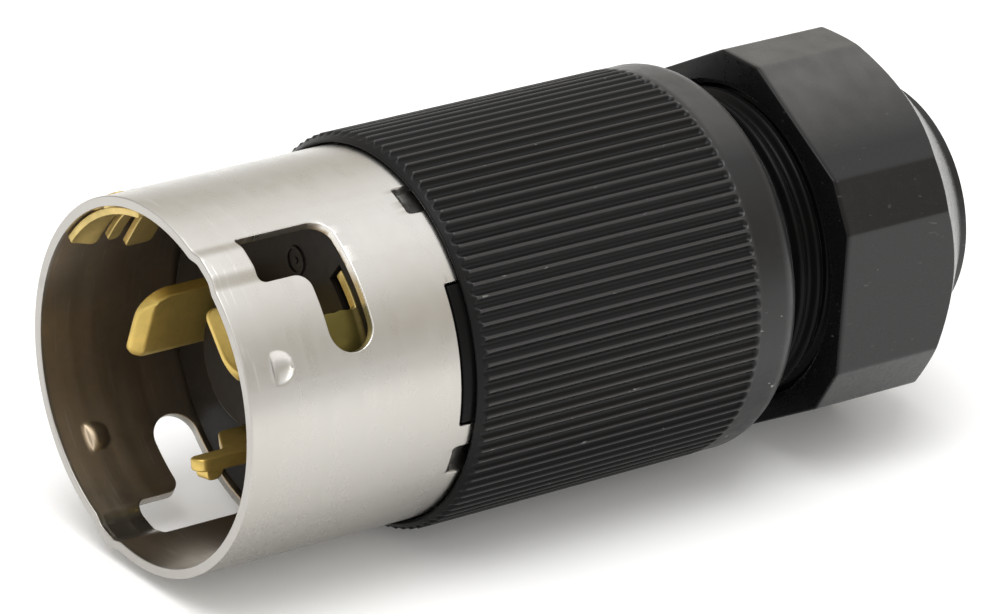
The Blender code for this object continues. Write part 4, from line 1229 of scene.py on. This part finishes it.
def nut_profile(side):
    """The nut's outline at one angle, where its side is this far out."""
    slope = (REST_RADIUS - NUT_COLLAR_RADIUS) / (NUT_COLLAR_FRONT - NUT_CONE_START)
    cone_at = NUT_CONE_START + (REST_RADIUS - side) / slope
    outline = [(NUT_MOUTH, NUT_FRONT, 0.0003), (side, NUT_FRONT, 0.0003), (side, cone_at, 0.0004)]
    outline += [(NUT_COLLAR_RADIUS, NUT_COLLAR_FRONT, 0.0003), (NUT_COLLAR_RADIUS, LENGTH, 0.00035)]
    outline += [(NUT_CORD_HOLE + 0.0005, LENGTH, 0.0003), (NUT_CORD_HOLE, LENGTH - 0.0007, 0.0002)]
    outline += [(NUT_CORD_HOLE, NUT_SHOULDER, 0.0002), (NUT_BORE, NUT_SHOULDER, 0.0002)]
    return filleted(outline + [(NUT_BORE, NUT_FRONT + 0.0008, 0.0002)])


def make_nut():
    columns = []
    for angle in nut_angles():
        columns.append([around(radius, angle, depth) for radius, depth in nut_profile(nut_radius(angle))])
    piece("twelve_sided_nut", ring_form(list(zip(*columns))), NUT, "gland_nut")


def cad_ring(low, high):
    """The outer radius, front and back of a round CAD node, from the corners of its box."""
    return (high.x - low.x) / 2, low.y - RIM_Y, high.y - RIM_Y


def make_washer():
    low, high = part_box("slip_washer")
    outer, front, back = cad_ring(low, high)
    corners = [(outer, front, 0.0003), (outer, back, 0.0003)]
    corners += [(WASHER_HOLE, back, 0.0003), (WASHER_HOLE, front, 0.0003)]
    piece("slip_washer_ring", turned(corners), NYLON, "slip_washer")


def make_grommet():
    """The rubber bush: a tapered nose, and soft ridges in its hole."""
    low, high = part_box("cord_grommet")
    outer, front, back = cad_ring(low, high)
    corners = [(outer - 0.0026, front, 0.0004), (outer, front + 0.0032, 0.0008), (outer, back, 0.0006)]
    mouth = GROMMET_HOLE + 0.0008
    groove = GROMMET_HOLE + 0.0005
    corners += [(mouth, back, 0.0005)]
    pitch = (back - front - 0.0016) / GROMMET_RIDGES
    for ridge in range(GROMMET_RIDGES):
        at = back - 0.0008 - ridge * pitch
        corners += [(GROMMET_HOLE, at - 0.0002, 0.0003), (GROMMET_HOLE, at - pitch * 0.45, 0.0003)]
        corners += [(groove, at - pitch * 0.65, 0.0003), (groove, at - pitch * 0.85, 0.0003)]
    corners += [(mouth, front, 0.0004)]
    piece("grommet_bush", turned(corners), RUBBER, "cord_grommet")


# Inner parts keep their CAD shape, with eased edges and their own finish


def ease(node, finish, width):
    obj = frame["nodes"][node]
    obj.data.materials.clear()
    obj.data.materials.append(finish)
    ease_edges(obj, width)
    even_normals(obj)


def finish_inner_parts():
    for pole in ("line_x", "line_y", "neutral", "earth"):
        ease(f"clamp_{pole}", CLAMP_BRASS, 0.0002)
        ease(f"pressure_plate_{pole}", STEEL, 0.0001)
        ease(f"terminal_screw_{pole}", GREEN if pole == "earth" else STEEL, 0.0002)
    for number in (1, 2):
        ease(f"assembly_screw_{number}", STEEL, 0.00015)
    ease("terminal_body", INSULATOR, 0.0002)


# Stage


def pale_floor():
    bm = bmesh.new()
    bmesh.ops.create_grid(bm, x_segments=1, y_segments=1, size=5.0)
    mesh_data = bpy.data.meshes.new("floor")
    bm.to_mesh(mesh_data)
    bm.free()
    floor = in_scene(bpy.data.objects.new("floor", mesh_data))
    floor.location.z = CAD_LOW.z
    material, _ = new_material("floor_white")
    matt = {"Base Color": (0.93, 0.93, 0.93, 1.0), "Roughness": 0.9, "Specular IOR Level": 0.0}
    glow = {"Emission Color": (1.0, 1.0, 1.0, 1.0), "Emission Strength": 0.10}
    feed(shader_of(material), {**matt, **glow})
    floor.data.materials.append(material)


def studio_world():
    """A pale surround: bright overhead, dimmer and warmer in a band above the horizon."""
    world = bpy.data.worlds.new("studio")
    bpy.context.scene.world = world
    world.use_nodes = True
    tree = world.node_tree
    source = add(tree, "ShaderNodeTexCoord", {})
    split = add(tree, "ShaderNodeSeparateXYZ", {"Vector": source.outputs["Generated"]})
    ramp = add(tree, "ShaderNodeValToRGB", {"Fac": split.outputs["Z"]})
    stops = [(0.00, 0.90, 0.90, 0.90), (0.14, 0.74, 0.73, 0.71), (0.30, 0.60, 0.57, 0.52)]
    stops += [(0.52, 0.62, 0.59, 0.54), (0.68, 0.92, 0.91, 0.89), (0.80, 1.02, 1.02, 1.02)]
    stops += [(1.00, 1.02, 1.02, 1.02)]
    elements = ramp.color_ramp.elements
    for i, (position, *colour) in enumerate(stops):
        element = elements[i] if i < 2 else elements.new(position)
        element.position = position
        element.color = (*colour, 1.0)
    feed(tree.nodes["Background"], {"Color": ramp.outputs["Color"], "Strength": 1.0})


def looking_out(azimuth_deg, elevation_deg):
    """A direction out from the plug. Azimuth 0 is in front of the rim, 90 to the plug's +X side."""
    azimuth = math.radians(azimuth_deg)
    elevation = math.radians(elevation_deg)
    level = math.cos(elevation)
    return Vector((math.sin(azimuth) * level, -math.cos(azimuth) * level, math.sin(elevation)))


def soft_light(name, azimuth_deg, elevation_deg, distance, size, power):
    """A square soft box that looks at the plug's axis above the origin."""
    out = looking_out(azimuth_deg, elevation_deg)
    light = bpy.data.lights.new(name, "AREA")
    light.shape = "SQUARE"
    light.size = size
    light.energy = power
    obj = in_scene(bpy.data.objects.new(name, light))
    obj.location = Vector((0.0, 0.0, AXIS_Z)) + out * distance
    obj.rotation_mode = "QUATERNION"
    obj.rotation_quaternion = out.to_track_quat("Z", "Y")


def studio_camera():
    """The long lens looks down on the plug from its rim end, a little rolled."""
    out = looking_out(51.57, 23.6)
    distance = 0.8976
    roll_deg = 3.51
    camera_data = bpy.data.cameras.new("studio_camera")
    camera_data.lens = 231.2
    camera_data.sensor_width = 36.0
    camera_data.shift_x = -0.0586
    camera_data.shift_y = -0.0238
    camera_data.clip_start = 0.05
    camera_data.clip_end = 50.0
    camera = in_scene(bpy.data.objects.new("studio_camera", camera_data))
    camera.location = around(0.0, 0.0, 0.070) + out * distance
    camera.rotation_mode = "QUATERNION"
    rolled = Matrix.Rotation(math.radians(roll_deg), 3, "Z").to_quaternion()
    camera.rotation_quaternion = out.to_track_quat("Z", "Y") @ rolled
    bpy.context.scene.camera = camera


make_shell()
for blade_node, blade_angle in BLADE_ANGLES.items():
    make_blade(blade_node, blade_angle)
make_hook()
make_earth_clip()
make_face_insulator()
make_slot_contact()
make_grip()
make_neck()
make_key()
make_nut()
make_washer()
make_grommet()
finish_inner_parts()
pale_floor()
studio_world()
soft_light("top_softbox", azimuth_deg=40.0, elevation_deg=75.0, distance=1.2, size=0.9, power=9.0)
soft_light("front_softbox", azimuth_deg=58.0, elevation_deg=33.0, distance=1.4, size=0.5, power=1.2)
studio_camera()
bpy.context.scene.view_settings.view_transform = "Standard"
